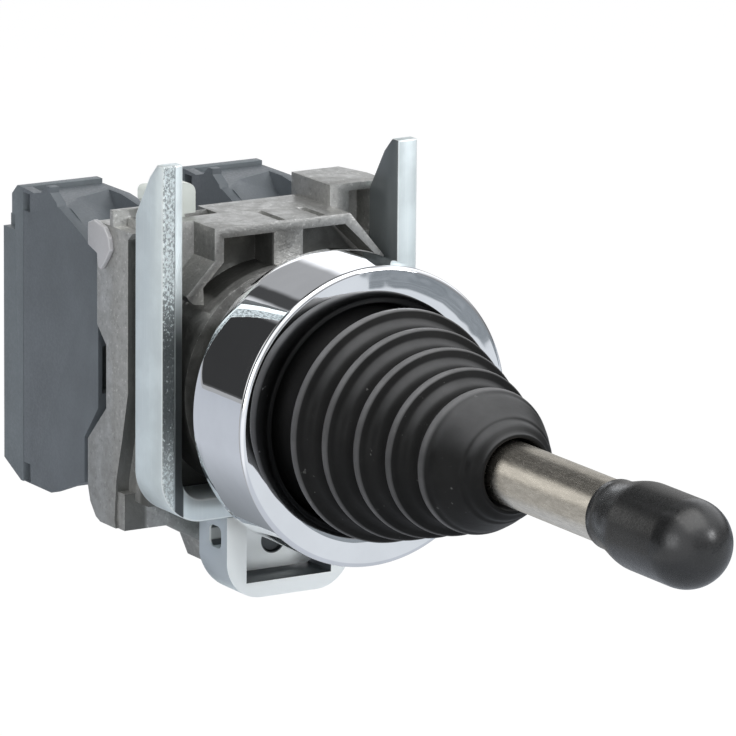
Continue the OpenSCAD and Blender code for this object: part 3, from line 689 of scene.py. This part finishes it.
class Bench:
    """Modelling by operators on one piece at a time."""

    @staticmethod
    def clear() -> None:
        """Deselects everything."""
        for other in bpy.context.view_layer.objects:
            other.select_set(False)

    @classmethod
    def only(cls, piece: bpy.types.Object) -> None:
        """Selects one piece and nothing else."""
        cls.clear()
        piece.select_set(True)
        bpy.context.view_layer.objects.active = piece

    @classmethod
    def turned(cls, name: str, profile: Sequence[Point], sides: int) -> bpy.types.Object:
        """Turns a closed profile about the Y axis.

        Args:
            name: The piece's name.
            profile: Closed outline of radius and y, in millimetres.
            sides: Number of sides of the turn.

        Returns:
            The closed turned piece.
        """
        cls.clear()
        at = first = profile[0]
        bpy.ops.mesh.primitive_plane_add(size=MM, location=(first[0] * MM, first[1] * MM, 0))
        piece = bpy.context.active_object
        piece.name = piece.data.name = name
        bpy.ops.object.transform_apply(location=True)
        bpy.ops.object.mode_set(mode="EDIT")
        bpy.ops.mesh.select_all(action="SELECT")
        bpy.ops.mesh.merge(type="CENTER")
        for point in (*profile[1:], first):
            step = ((point[0] - at[0]) * MM, (point[1] - at[1]) * MM, 0.0)
            bpy.ops.mesh.extrude_vertices_move(TRANSFORM_OT_translate={"value": step})
            at = point
        bpy.ops.mesh.select_all(action="SELECT")
        bpy.ops.mesh.spin(steps=sides, angle=2 * pi, center=(0, 0, 0), axis=(0, 1, 0))
        bpy.ops.mesh.select_all(action="SELECT")
        bpy.ops.mesh.remove_doubles(threshold=TURN_WELD)
        bpy.ops.mesh.normals_make_consistent(inside=False)
        bpy.ops.object.mode_set(mode="OBJECT")
        return piece

    @classmethod
    def copied(cls, node: str) -> bpy.types.Object:
        """Copies a CAD node's mesh into a piece of its own and joins its loose triangles.

        Args:
            node: The CAD node.

        Returns:
            The piece with flat faces merged.
        """
        data = frame["nodes"][node].data.copy()
        piece = bpy.data.objects.new(f"{node}_finished", data)
        bpy.context.scene.collection.objects.link(piece)
        cls.only(piece)
        bpy.ops.mesh.customdata_custom_splitnormals_clear()
        bpy.ops.object.mode_set(mode="EDIT")
        bpy.ops.mesh.select_all(action="SELECT")
        bpy.ops.mesh.remove_doubles(threshold=CAD_WELD)
        bpy.ops.mesh.dissolve_limited(angle_limit=radians(FLAT_ANGLE))
        bpy.ops.object.mode_set(mode="OBJECT")
        return piece

    @classmethod
    def shift(cls, piece: bpy.types.Object, box: tuple[Place, Place], step: Place) -> None:
        """Moves the points of a piece that lie in a box.

        Args:
            piece: The piece.
            box: Lowest and highest corner in millimetres.
            step: The move in millimetres.
        """
        cls.only(piece)
        bpy.ops.object.mode_set(mode="EDIT")
        bpy.ops.mesh.select_mode(type="VERT")
        bpy.ops.mesh.select_all(action="DESELECT")
        bpy.ops.object.mode_set(mode="OBJECT")
        for point in piece.data.vertices:
            point.select = all(a * MM <= c <= b * MM for a, b, c in zip(*box, point.co))
        bpy.ops.object.mode_set(mode="EDIT")
        bpy.ops.transform.translate(value=tuple(s * MM for s in step))
        bpy.ops.object.mode_set(mode="OBJECT")

    @classmethod
    def soften(cls, piece: bpy.types.Object, width: float, segments: int = 2) -> None:
        """Rounds the sharp edges of a piece and marks their faces as worn.

        Args:
            piece: The piece.
            width: Width of the rounding in millimetres.
            segments: Faces across the rounding.
        """
        cls.only(piece)
        bevel = piece.modifiers.new("soft_edges", "BEVEL")
        bevel.width = width * MM
        bevel.segments = segments
        bevel.limit_method = "ANGLE"
        bevel.angle_limit = radians(SHARP_ANGLE)
        bevel.miter_outer = "MITER_ARC"
        bevel.use_clamp_overlap = True
        piece.data.materials.clear()
        for title in ("face", "edge"):
            piece.data.materials.append(bpy.data.materials.new(title))
        bevel.material = 1
        bpy.ops.object.modifier_apply(modifier=bevel.name)
        worn = piece.data.attributes.new("worn", "FLOAT", "FACE")
        for face in piece.data.polygons:
            worn.data[face.index].value = float(face.material_index)
            face.material_index = 0
        piece.data.materials.clear()
        cls.smooth(piece, SMOOTH_ANGLE)

    @classmethod
    def smooth(cls, piece: bpy.types.Object, angle: float) -> None:
        """Shades a piece smooth up to an angle in degrees."""
        cls.only(piece)
        bpy.ops.object.shade_smooth_by_angle(angle=radians(angle))


def dress(piece: bpy.types.Object, finish: Finish) -> None:
    """Gives a piece its finish's material in every slot, adding a slot if it has none.

    Args:
        piece: The piece or CAD node.
        finish: Its finish.
    """
    material = finish.material()
    if len(piece.material_slots) == 0:
        piece.data.materials.append(material)
    for place in piece.material_slots:
        place.material = material


def around(centre: Point, offsets: Sequence[Point]) -> list[Point]:
    """Points by their distances from one point.

    Args:
        centre: The point.
        offsets: Distances in radius and y.

    Returns:
        The points.
    """
    return [(centre[0] + radius, centre[1] + y) for radius, y in offsets]


def curve(points: Sequence[Point], steps: int) -> list[Point]:
    """Rounds a line of points with a Catmull-Rom curve.

    Args:
        points: The points that the curve passes.
        steps: Parts between two of them.

    Returns:
        The points of the curve.
    """
    ends = [points[0], *points, points[-1]]
    out: list[Point] = []
    for a, b, c, d in zip(ends, ends[1:], ends[2:], ends[3:]):
        for i in range(steps):
            t = i / steps
            out.append(tuple(0.5 * (2 * b[k] + (c[k] - a[k]) * t
                                    + (2 * a[k] - 5 * b[k] + 4 * c[k] - d[k]) * t ** 2
                                    + (3 * b[k] - a[k] - 3 * c[k] + d[k]) * t ** 3)
                             for k in (0, 1)))
    return [*out, points[-1]]


def arc(centre: Point, radius: float, start: float, end: float, steps: int) -> list[Point]:
    """Points of an arc.

    Args:
        centre: Centre of the arc.
        radius: Its radius.
        start: First angle in degrees.
        end: Last angle in degrees.
        steps: Parts of the arc.

    Returns:
        The points.
    """
    angles = [radians(start + (end - start) * i / steps) for i in range(steps + 1)]
    return [(centre[0] + radius * cos(a), centre[1] + radius * sin(a)) for a in angles]


# Sub-assemblies


@dataclass
class Head:
    """Chromed bezel with what it holds, sizes in millimetres."""

    radius: float = 16.0
    bore: float = 11.9
    height: float = 10.7
    dish: float = 0.5
    edge: float = 0.5
    pocket: float = 13.75
    pocket_front: float = 6.2
    rear: tuple[Point, ...] = ((-0.15, -0.5), (0.0, -0.75))
    side: tuple[float, ...] = (-2.0, -5.0, -8.0)
    side_end: float = 0.08
    face: tuple[Point, ...] = ((14.6, 0.003), (13.6, 0.006))
    fall: tuple[Point, ...] = ((13.0, 0.03), (12.6, 0.13))
    lip: tuple[Point, ...] = ((0.35, -0.12), (0.08, 0.25), (0.0, 0.6))
    plain: dict[str, Finish] = field(default_factory=lambda: {
        "panel_gasket": GASKET, "operator_tube": TUBE_METAL, "guide_plate": GATE_PLASTIC,
        "gaiter_clamp_ring": PLATE, "pusher_guide": GATE_PLASTIC, "pivot_pin": BAR_STEEL})

    def bezel(self) -> bpy.types.Object:
        """Turns the bezel: fine round edge, almost flat face, soft fall into the bore."""
        front = -self.height
        rim = (self.radius - self.edge, front + self.edge)
        lip = around((self.bore, front + self.dish), self.lip)
        outline = [(self.pocket, self.rear[0][1]), *around((self.radius, 0.0), self.rear)]
        outline += [(self.radius, y) for y in (*self.side, rim[1] + self.side_end)]
        outline += arc(rim, self.edge, 0, -94, 16)
        outline += around((0.0, front), self.face)
        outline += curve([*around((0.0, front), self.fall), lip[0]], 3)
        outline += [*lip[1:], (self.bore, -self.pocket_front), (self.pocket, -self.pocket_front)]
        piece = Bench.turned("bezel_polished", outline, 256)
        Bench.smooth(piece, 40)
        return piece

    def build(self) -> None:
        """Makes and dresses the head."""
        bezel = self.bezel()
        dress(bezel, CHROME)
        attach(bezel, "root")
        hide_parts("bezel")
        for node, finish in self.plain.items():
            dress(frame["nodes"][node], finish)
        log.info("head: bezel of %d faces", len(bezel.data.polygons))


# The bellows' line in radius and y: from the neck, and from each crest, cup and hole.
NECK_LINE = ((0.0, -6.3), (-0.1, -8.6), (-0.8, -9.8), (-1.7, -11.2), (-1.9, -12.4), (-1.3, -13.3))
CREST_LINE = ((-0.55, 0.98), (-0.12, 0.62), (0.0, 0.28), (0.0, -0.18))
FOLD_LINE = ((-0.12, -0.44), (-0.42, -0.60), (-0.82, -0.76), (-1.12, -1.12), (-1.42, -1.66),
             (-1.85, -1.98), (-2.30, -2.26))
GROOVE_LINE = ((0.0, -2.75), (0.15, -3.08))
CUP_LINE = ((-0.12, -0.55), (-0.40, -0.95), (-0.62, -1.6), (-1.15, -2.6), (-1.75, -3.7),
            (-2.05, -4.3), (-2.35, -4.6), (-2.65, -5.3))
HOLE_LINE = ((0.62, 0.42), (0.42, 0.1), (0.12, 0.1), (0.0, 0.45))
LIP_INSIDE = ((0.0, 2.8), (0.0, 5.0), (0.8, 5.6))
CUP_INSIDE = ((-0.6, 0.2), (-1.6, 2.0))
GROOVE_INSIDE = ((0.0, -2.8), (0.3, -1.9))
CREST_INSIDE = ((-0.4, 0.1), (-1.2, 1.2))
NECK_INSIDE = ((-1.8, -12.2), (-0.7, -9.4), (0.0, -7.6), (0.0, -5.1))


@dataclass
class Gaiter:
    """Rubber bellows between the bezel and the lever, sizes in millimetres."""

    crests: tuple[Point, ...] = ((12.35, -14.85), (11.15, -19.1), (9.95, -23.35), (8.75, -27.65))
    cup: Point = (7.6, -32.1)
    front: float = -38.4
    hole: float = 3.68
    hole_depth: float = 2.2
    lip: float = 3.35
    neck: float = 11.6
    flange: Point = (13.4, -5.1)
    flange_front: float = -6.2
    wall: float = 0.9
    groove: float = 2.6
    # Size of the painted crest highlight across and along, and its shift along y.
    wear_and_highlight: Point = (0.16, 0.60)
    crest_highlight_shift: float = 0.08
    sides: int = 144

    def outer(self) -> list[Point]:
        """The outer line from the bezel to the nose, smooth and fine."""
        line = around((self.neck, 0.0), NECK_LINE)
        for radius, y in self.crests:
            line += around((radius, y), (*CREST_LINE, *FOLD_LINE))
            line += around((radius - self.groove, y), GROOVE_LINE)
        line += around(self.cup, (*CREST_LINE, *CUP_LINE))
        return curve([*line, *around((self.hole, self.front), HOLE_LINE)], 3)

    def inner(self) -> list[Point]:
        """The inner line from the lip on the shaft to the flange, one wall inside."""
        line = around((self.lip, self.front), LIP_INSIDE)
        line += around((self.cup[0] - self.wall, self.cup[1]), CUP_INSIDE)
        for radius, y in reversed(self.crests):
            line += around((radius - self.groove - self.wall, y), GROOVE_INSIDE)
            line += around((radius - self.wall, y), CREST_INSIDE)
        return [*line, *around((self.neck - self.wall, 0.0), NECK_INSIDE)]

    def mark_crests(self, piece: bpy.types.Object) -> None:
        """Writes how near each point is to a crest, for the painted crest highlight.

        Args:
            piece: The gaiter's mesh.
        """
        near = piece.data.attributes.new("crest", "FLOAT", "POINT")
        wide, long = self.wear_and_highlight
        for vertex in piece.data.vertices:
            radius = (vertex.co.x ** 2 + vertex.co.z ** 2) ** 0.5 / MM
            y = vertex.co.y / MM
            gaps = [max(abs(radius - r) / wide, abs(y - at - self.crest_highlight_shift) / long)
                    for r, at in (*self.crests, self.cup)]
            near.data[vertex.index].value = max(0.0, min(1.0, 2.0 - 1.6 * min(gaps)))

    def build(self) -> None:
        """Makes the bellows and dresses them."""
        outline = [self.flange, (self.flange[0], self.flange_front), *self.outer(),
                   (self.hole, self.front + self.hole_depth), *self.inner()]
        piece = Bench.turned("gaiter_bellows", outline, self.sides)
        Bench.smooth(piece, 70)
        self.mark_crests(piece)
        dress(piece, RUBBER)
        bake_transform(piece)
        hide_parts("gaiter")
        log.info("gaiter: %d faces", len(piece.data.polygons))


@dataclass
class Lever:
    """Lever bar with its knob and rocker, sizes in millimetres."""

    reach: float = 74.1
    knob_radius: float = 4.55
    knob_length: float = 17.4
    bar_radius: float = 3.3
    bar_end: float = 4.0
    gap: float = 0.05
    skirt: float = 0.32
    mouth: float = 0.6
    flare: float = 6.0
    axis_hole: float = 0.03

    def knob(self) -> bpy.types.Object:
        """Turns the knob: rounded mouth, flare and ball end."""
        start = -self.reach + self.knob_length
        seat = -self.reach + self.bar_end - self.gap
        bore = self.bar_radius + self.gap
        waist = self.bar_radius + self.skirt
        outline = [(bore, start), *around((waist, start), ((-0.14, -0.02), (0.0, -0.18)))]
        for i in range(1, 13):
            t = i / 12
            outline.append((waist + (self.knob_radius - waist) * (1 - cos(pi * t)) / 2,
                            start - self.mouth - (self.flare - self.mouth) * t))
        outline += arc((0.0, -self.reach + self.knob_radius), self.knob_radius, 0, -89.6, 24)
        outline += [(self.axis_hole, seat), (bore, seat)]
        piece = Bench.turned("knob_moulded", outline, 128)
        Bench.smooth(piece, 50)
        return piece

    def build(self) -> None:
        """Makes and dresses the moving lever."""
        knob = self.knob()
        dress(knob, KNOB_PLASTIC)
        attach(knob, "lever")
        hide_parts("knob")
        dress(frame["nodes"]["lever_shaft"], BAR_STEEL)
        dress(frame["nodes"]["rocker"], ROCKER_PLASTIC)
        log.info("lever: knob of %d faces", len(knob.data.polygons))


@dataclass
class Softened:
    """A CAD node shown with rounded edges."""

    node: str
    body: str
    finish: Finish
    width: float
    segments: int = 2

    def build(self) -> None:
        """Copies the node, rounds its edges and dresses it."""
        piece = Bench.copied(self.node)
        Bench.soften(piece, self.width, self.segments)
        dress(piece, self.finish)
        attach(piece, self.body)
        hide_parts(self.node)
        log.info("%s: %d faces", self.node, len(piece.data.polygons))


@dataclass
class Collar:
    """Die-cast collar with its locking ring, retainer and latch hooks."""

    cast_round: float = 0.28
    ring_round: float = 0.30
    hook_round: float = 0.12

    def build(self) -> None:
        """Makes and dresses the collar group."""
        Softened("fixing_collar", "root", CASTING, self.cast_round).build()
        Softened("locking_ring", "locking_ring", LEVER_ZINC, self.ring_round, 3).build()
        Softened("latch_hooks", "root", LATCH_METAL, self.hook_round).build()
        dress(frame["nodes"]["ring_retainer"], PLATE)


@dataclass
class Clamp:
    """Stamped steel clamp that closes on the panel, with its screw."""

    sheet_round: float = 0.22
    screw_round: float = 0.12
    saddle: tuple[Place, Place] = ((-5.3, 9.0, -20.6), (5.3, 13.0, -19.2))
    saddle_drop: float = 0.35

    def stirrup(self) -> None:
        """Shows the stirrup, its saddle plate reaching a little lower than the solid's."""
        piece = Bench.copied("screw_stirrup")
        Bench.shift(piece, self.saddle, (0.0, 0.0, -self.saddle_drop))
        Bench.soften(piece, self.sheet_round)
        dress(piece, STIRRUP_PLATE)
        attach(piece, "clamp")
        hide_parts("screw_stirrup")

    def build(self) -> None:
        """Makes and dresses the clamp."""
        self.stirrup()
        Softened("clamp_bracket", "clamp", BRACKET_PLATE, self.sheet_round).build()
        Softened("clamp_screw", "clamp", STIRRUP_PLATE, self.screw_round).build()


class Side(Enum):
    """The two sides of the joystick."""

    LEFT = "left"
    RIGHT = "right"


@dataclass
class ContactBlock:
    """One contact block: housing, cover, plunger, contacts, terminals and its pusher."""

    side: Side
    corner: float = 0.22
    inner: dict[str, Finish] = field(default_factory=lambda: {
        "plunger": ACETAL, "contact_bridge": CONTACT_ALLOY, "fixed_contacts": CONTACT_ALLOY,
        "terminal_screws": PLATE, "terminal_clamps": PLATE, "pusher": ACETAL})
    springs: tuple[str, ...] = ("return_spring", "pusher_spring")

    def spring(self, node: str) -> None:
        """Shows a spring as a copy of its CAD node.

        Args:
            node: The spring's CAD node.
        """
        piece = Bench.copied(node)
        dress(piece, SPRING_WIRE)
        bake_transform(piece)
        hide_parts(node)

    def build(self) -> None:
        """Makes and dresses the block and the pusher before it."""
        prefix = self.side.value
        Softened(f"{prefix}_block_housing", "root", HOUSING_PLASTIC, self.corner).build()
        Softened(f"{prefix}_block_cover", "root", BLOCK_PLASTIC, self.corner).build()
        for piece, finish in self.inner.items():
            dress(frame["nodes"][f"{prefix}_{piece}"], finish)
        for spring in self.springs:
            self.spring(f"{prefix}_{spring}")


# Studio


@dataclass(frozen=True)
class Panel:
    """A stripe of one tone around the Y axis, its bearings in degrees from X to Z."""

    start: float
    end: float
    soft: float
    tone: float


@dataclass(frozen=True)
class Lamp:
    """A soft square lamp, in metres and watts."""

    name: str
    place: Place
    size: float
    power: float
    colour: Colour = (0.97, 0.98, 1.0)


OPEN_TONE = 0.42
ROOM_PANELS = (Panel(14, 52, 5, 1.35), Panel(-60, 8, 4, 0.07), Panel(91, 104, 2.5, 0.07),
               Panel(104, 113, 2.5, 0.80), Panel(115, 181, 3, 0.042))
CARD_PANELS = (Panel(55, 126, 6, 0.07), Panel(136, 172, 5, 1.0))
LAMPS = (Lamp("key", (0.02, -0.28, 0.75), 0.8, 4.4, (1.0, 0.99, 0.97)),
         Lamp("right_fill", (0.44, -0.62, 0.30), 0.21, 1.3),
         Lamp("left_fill", (-0.7, -0.3, 0.2), 0.4, 1.1))


def panelled(paint: Paint, x: Expr, z: Expr, panels: Sequence[Panel]) -> Expr:
    """The tone of a surface with panels around the Y axis, each laid over those before it.

    Args:
        paint: The tree.
        x: The first part of the place or direction.
        z: The third part of it.
        panels: The panels.

    Returns:
        The tone.
    """
    turn = z.math("ARCTAN2", x) * (180 / pi)
    tone = paint.number(OPEN_TONE)
    for panel in panels:
        mask = turn.band(panel.start, panel.end, panel.soft)
        tone = tone * (1 - mask) + panel.tone * mask
    return tone


@dataclass(frozen=True)
class Floor:
    """Pale round floor in metres, nearly white to the eye, with painted reflections and a painted
    shadow in mirrors.

    Zones are in millimetres: the two ends of a band, or 0 and 1 of a step.
    """

    height: float = -0.060
    radius: float = 2.2
    diffuse: Colour = (0.86, 0.87, 0.90)
    white: float = 1.04
    middle: Colour = (0.54, 0.575, 0.635)
    front: Colour = (0.72, 0.76, 0.80)
    front_y: Point = (-100.0, -150.0)
    under: Colour = (0.12, 0.14, 0.155)
    shadow_x: Point = (-75.0, 5.0)
    shadow_y: Point = (55.0, 140.0)
    left: Colour = (1.05, 1.07, 1.10)
    left_x: Point = (-60.0, -120.0)
    left_y: Point = (40.0, 0.0)
    beyond: Colour = (0.085, 0.115, 0.135)
    beyond_x: Point = (146.0, 152.0)
    beyond_y: Point = (-246.0, -251.0)
    beyond_slope: float = 1.84
    beyond_start: float = 18.7

    def tint(self, paint: Paint) -> Expr:
        """The floor's colour in mirrors: painted reflections, a painted shadow under the object, a
        brighter zone to the left and a dark mottled patch beyond.

        Args:
            paint: The floor's tree.

        Returns:
            The colour.
        """
        spot = paint.millimetres(paint.coordinates())
        x, y, _ = paint.axes(spot)
        # A dark mottled patch beyond the object: painted reflection.
        beyond = (y + self.beyond_slope * x - self.beyond_start).step(-0.5, 0.5)
        beyond = beyond * y.step(*self.beyond_y) * x.step(*self.beyond_x)
        # Painted shadow of the object on the floor, seen only in mirrors.
        under = x.step(*self.shadow_x) * y.band(*self.shadow_y, 25.0)
        mottle = paint.node("ShaderNodeTexNoise", None, {
            "Vector": spot, "Scale": 0.22, "Detail": 4.0, "Roughness": 0.65})
        # Grey tones, paler far in front: painted reflection.
        tint = paint.blend(y.step(*self.front_y), self.middle, self.front)
        tint = paint.blend(under * 0.95, tint, self.under)
        # A brighter zone to the left: painted reflection.
        tint = paint.blend(x.step(*self.left_x) * y.step(*self.left_y), tint, self.left)
        return paint.blend(beyond * (1.35 - 0.9 * mottle), tint, self.beyond)

    def build(self) -> None:
        """Lays the floor."""
        Bench.clear()
        bpy.ops.mesh.primitive_circle_add(vertices=96, radius=self.radius, fill_type="NGON",
                                          location=(0, 0, self.height))
        floor = bpy.context.active_object
        floor.name = "floor"
        bpy.ops.object.transform_apply(location=True)
        material = bpy.data.materials.new("floor_white")
        material.use_nodes = True
        paint = Paint(material.node_tree)
        material.node_tree.nodes.clear()
        seen = paint.node("ShaderNodeLightPath", None, None, "Is Camera Ray")
        mirrored = seen.other("Is Glossy Ray").math("MAXIMUM", seen.other("Is Transmission Ray"))
        base = paint.node("ShaderNodeBsdfDiffuse", None, {"Color": self.diffuse})
        pale = paint.glow(self.tint(paint), 1.0)
        mixed = paint.node("ShaderNodeMixShader", None, {0: mirrored * 0.85, 1: base, 2: pale})
        white = paint.glow((1, 1, 1), self.white)
        paint.output(paint.node("ShaderNodeMixShader", None, {0: seen * 0.90, 1: mixed, 2: white}))
        floor.data.materials.append(material)


@dataclass
class Studio:
    """Camera, floor, lamps and surroundings, in metres and degrees."""

    turn: float = 31.07
    rise: float = 13.33
    roll: float = 0.50
    distance: float = 0.803
    aim: Place = (0.0, 0.0067, 0.0)
    shift: Point = (0.008225, 0.001626)
    focal_px: float = 7605.0
    picture_px: float = 736
    sensor_mm: float = 36
    cool: Colour = (1.0, 1.015, 1.045)
    soft_light: Colour = (0.46, 0.466, 0.478)
    card_ring: tuple[Point, ...] = ((53.0, 45.0), (98.0, 45.0), (98.0, 46.0), (53.0, 46.0))
    card_colour: Colour = (1.0, 0.99, 0.97)

    def camera(self) -> None:
        """Puts the camera at the photograph's angle."""
        a, e, r = radians(self.turn), radians(self.rise), radians(self.roll)
        back = Vector((-sin(a) * cos(e), -cos(a) * cos(e), sin(e)))
        level = Vector((cos(a), -sin(a), 0))
        upright = back.cross(level)
        right = cos(r) * level + sin(r) * upright
        up = -sin(r) * level + cos(r) * upright
        matrix = Matrix((right, up, back)).transposed().to_4x4()
        matrix.translation = (Vector(self.aim) + self.distance * back + self.shift[0] * right
                              + self.shift[1] * up)
        data = bpy.data.cameras.new("camera")
        data.sensor_width = self.sensor_mm
        data.lens = self.focal_px * self.sensor_mm / self.picture_px
        data.clip_start = 0.01
        camera = bpy.data.objects.new("camera", data)
        bpy.context.scene.collection.objects.link(camera)
        camera.matrix_world = matrix
        bpy.context.scene.camera = camera

    def surroundings(self) -> None:
        """A white room whose darker and brighter panels only show in metal and gloss."""
        world = bpy.data.worlds.new("studio")
        bpy.context.scene.world = world
        world.use_nodes = True
        paint = Paint(world.node_tree)
        x, y, z = paint.axes(paint.node("ShaderNodeTexCoord", None, None, "Generated"))
        behind = y.step(-0.25, 0.25)
        left = 1.15 * x.step(-0.15, -0.45)
        front = (0.30 + 0.95 * z.step(0.15, 0.70)).math("MAXIMUM", left)
        tone = front * (1 - behind) + panelled(paint, x, z, ROOM_PANELS) * behind
        tones = {i: tone * share for i, share in enumerate(self.cool)}
        grey = paint.node("ShaderNodeCombineXYZ", None, tones)
        seen = paint.node("ShaderNodeLightPath", None, None, "Is Camera Ray")
        colour = paint.blend(seen.other("Is Diffuse Ray"), grey, self.soft_light)
        colour = paint.blend(seen, colour, (1.0, 1.0, 1.0))
        room = world.node_tree.nodes["Background"]
        world.node_tree.links.new(colour.socket, room.inputs[0])
        room.inputs[1].default_value = 1.0

    def ring_card(self) -> None:
        """Hangs a wide ring behind the head that only the lever and the knob mirror."""
        card = Bench.turned("ring_card", self.card_ring, 96)
        material = bpy.data.materials.new("ring_card")
        material.use_nodes = True
        paint = Paint(material.node_tree)
        material.node_tree.nodes.clear()
        x, _, z = paint.axes(paint.coordinates())
        paint.output(paint.glow(self.card_colour, panelled(paint, x, z, CARD_PANELS)))
        card.data.materials.append(material)
        card.visible_camera = card.visible_diffuse = False
        card.visible_shadow = card.visible_transmission = False

    def hang(self, lamp: Lamp) -> None:
        """Hangs one lamp that looks at the object.

        Args:
            lamp: The lamp.
        """
        data = bpy.data.lights.new(lamp.name, "AREA")
        data.energy = lamp.power
        data.size = lamp.size
        data.color = lamp.colour
        hung = bpy.data.objects.new(lamp.name, data)
        bpy.context.scene.collection.objects.link(hung)
        hung.location = lamp.place
        away = Vector(lamp.place) - Vector(self.aim)
        hung.rotation_euler = away.to_track_quat("Z", "Y").to_euler()
        hung.visible_camera = False

    def build(self) -> None:
        """Makes the whole studio."""
        bpy.context.scene.view_settings.view_transform = "Standard"
        self.camera()
        Floor().build()
        self.surroundings()
        self.ring_card()
        for lamp in LAMPS:
            self.hang(lamp)


def main() -> None:
    """Builds the studio and every sub-assembly."""
    logging.basicConfig(level=logging.INFO, format="%(name)s: %(message)s")
    Studio().build()
    Head().build()
    Gaiter().build()
    Lever().build()
    Collar().build()
    Clamp().build()
    for side in Side:
        ContactBlock(side).build()


if __name__ == "__main__":
    main()
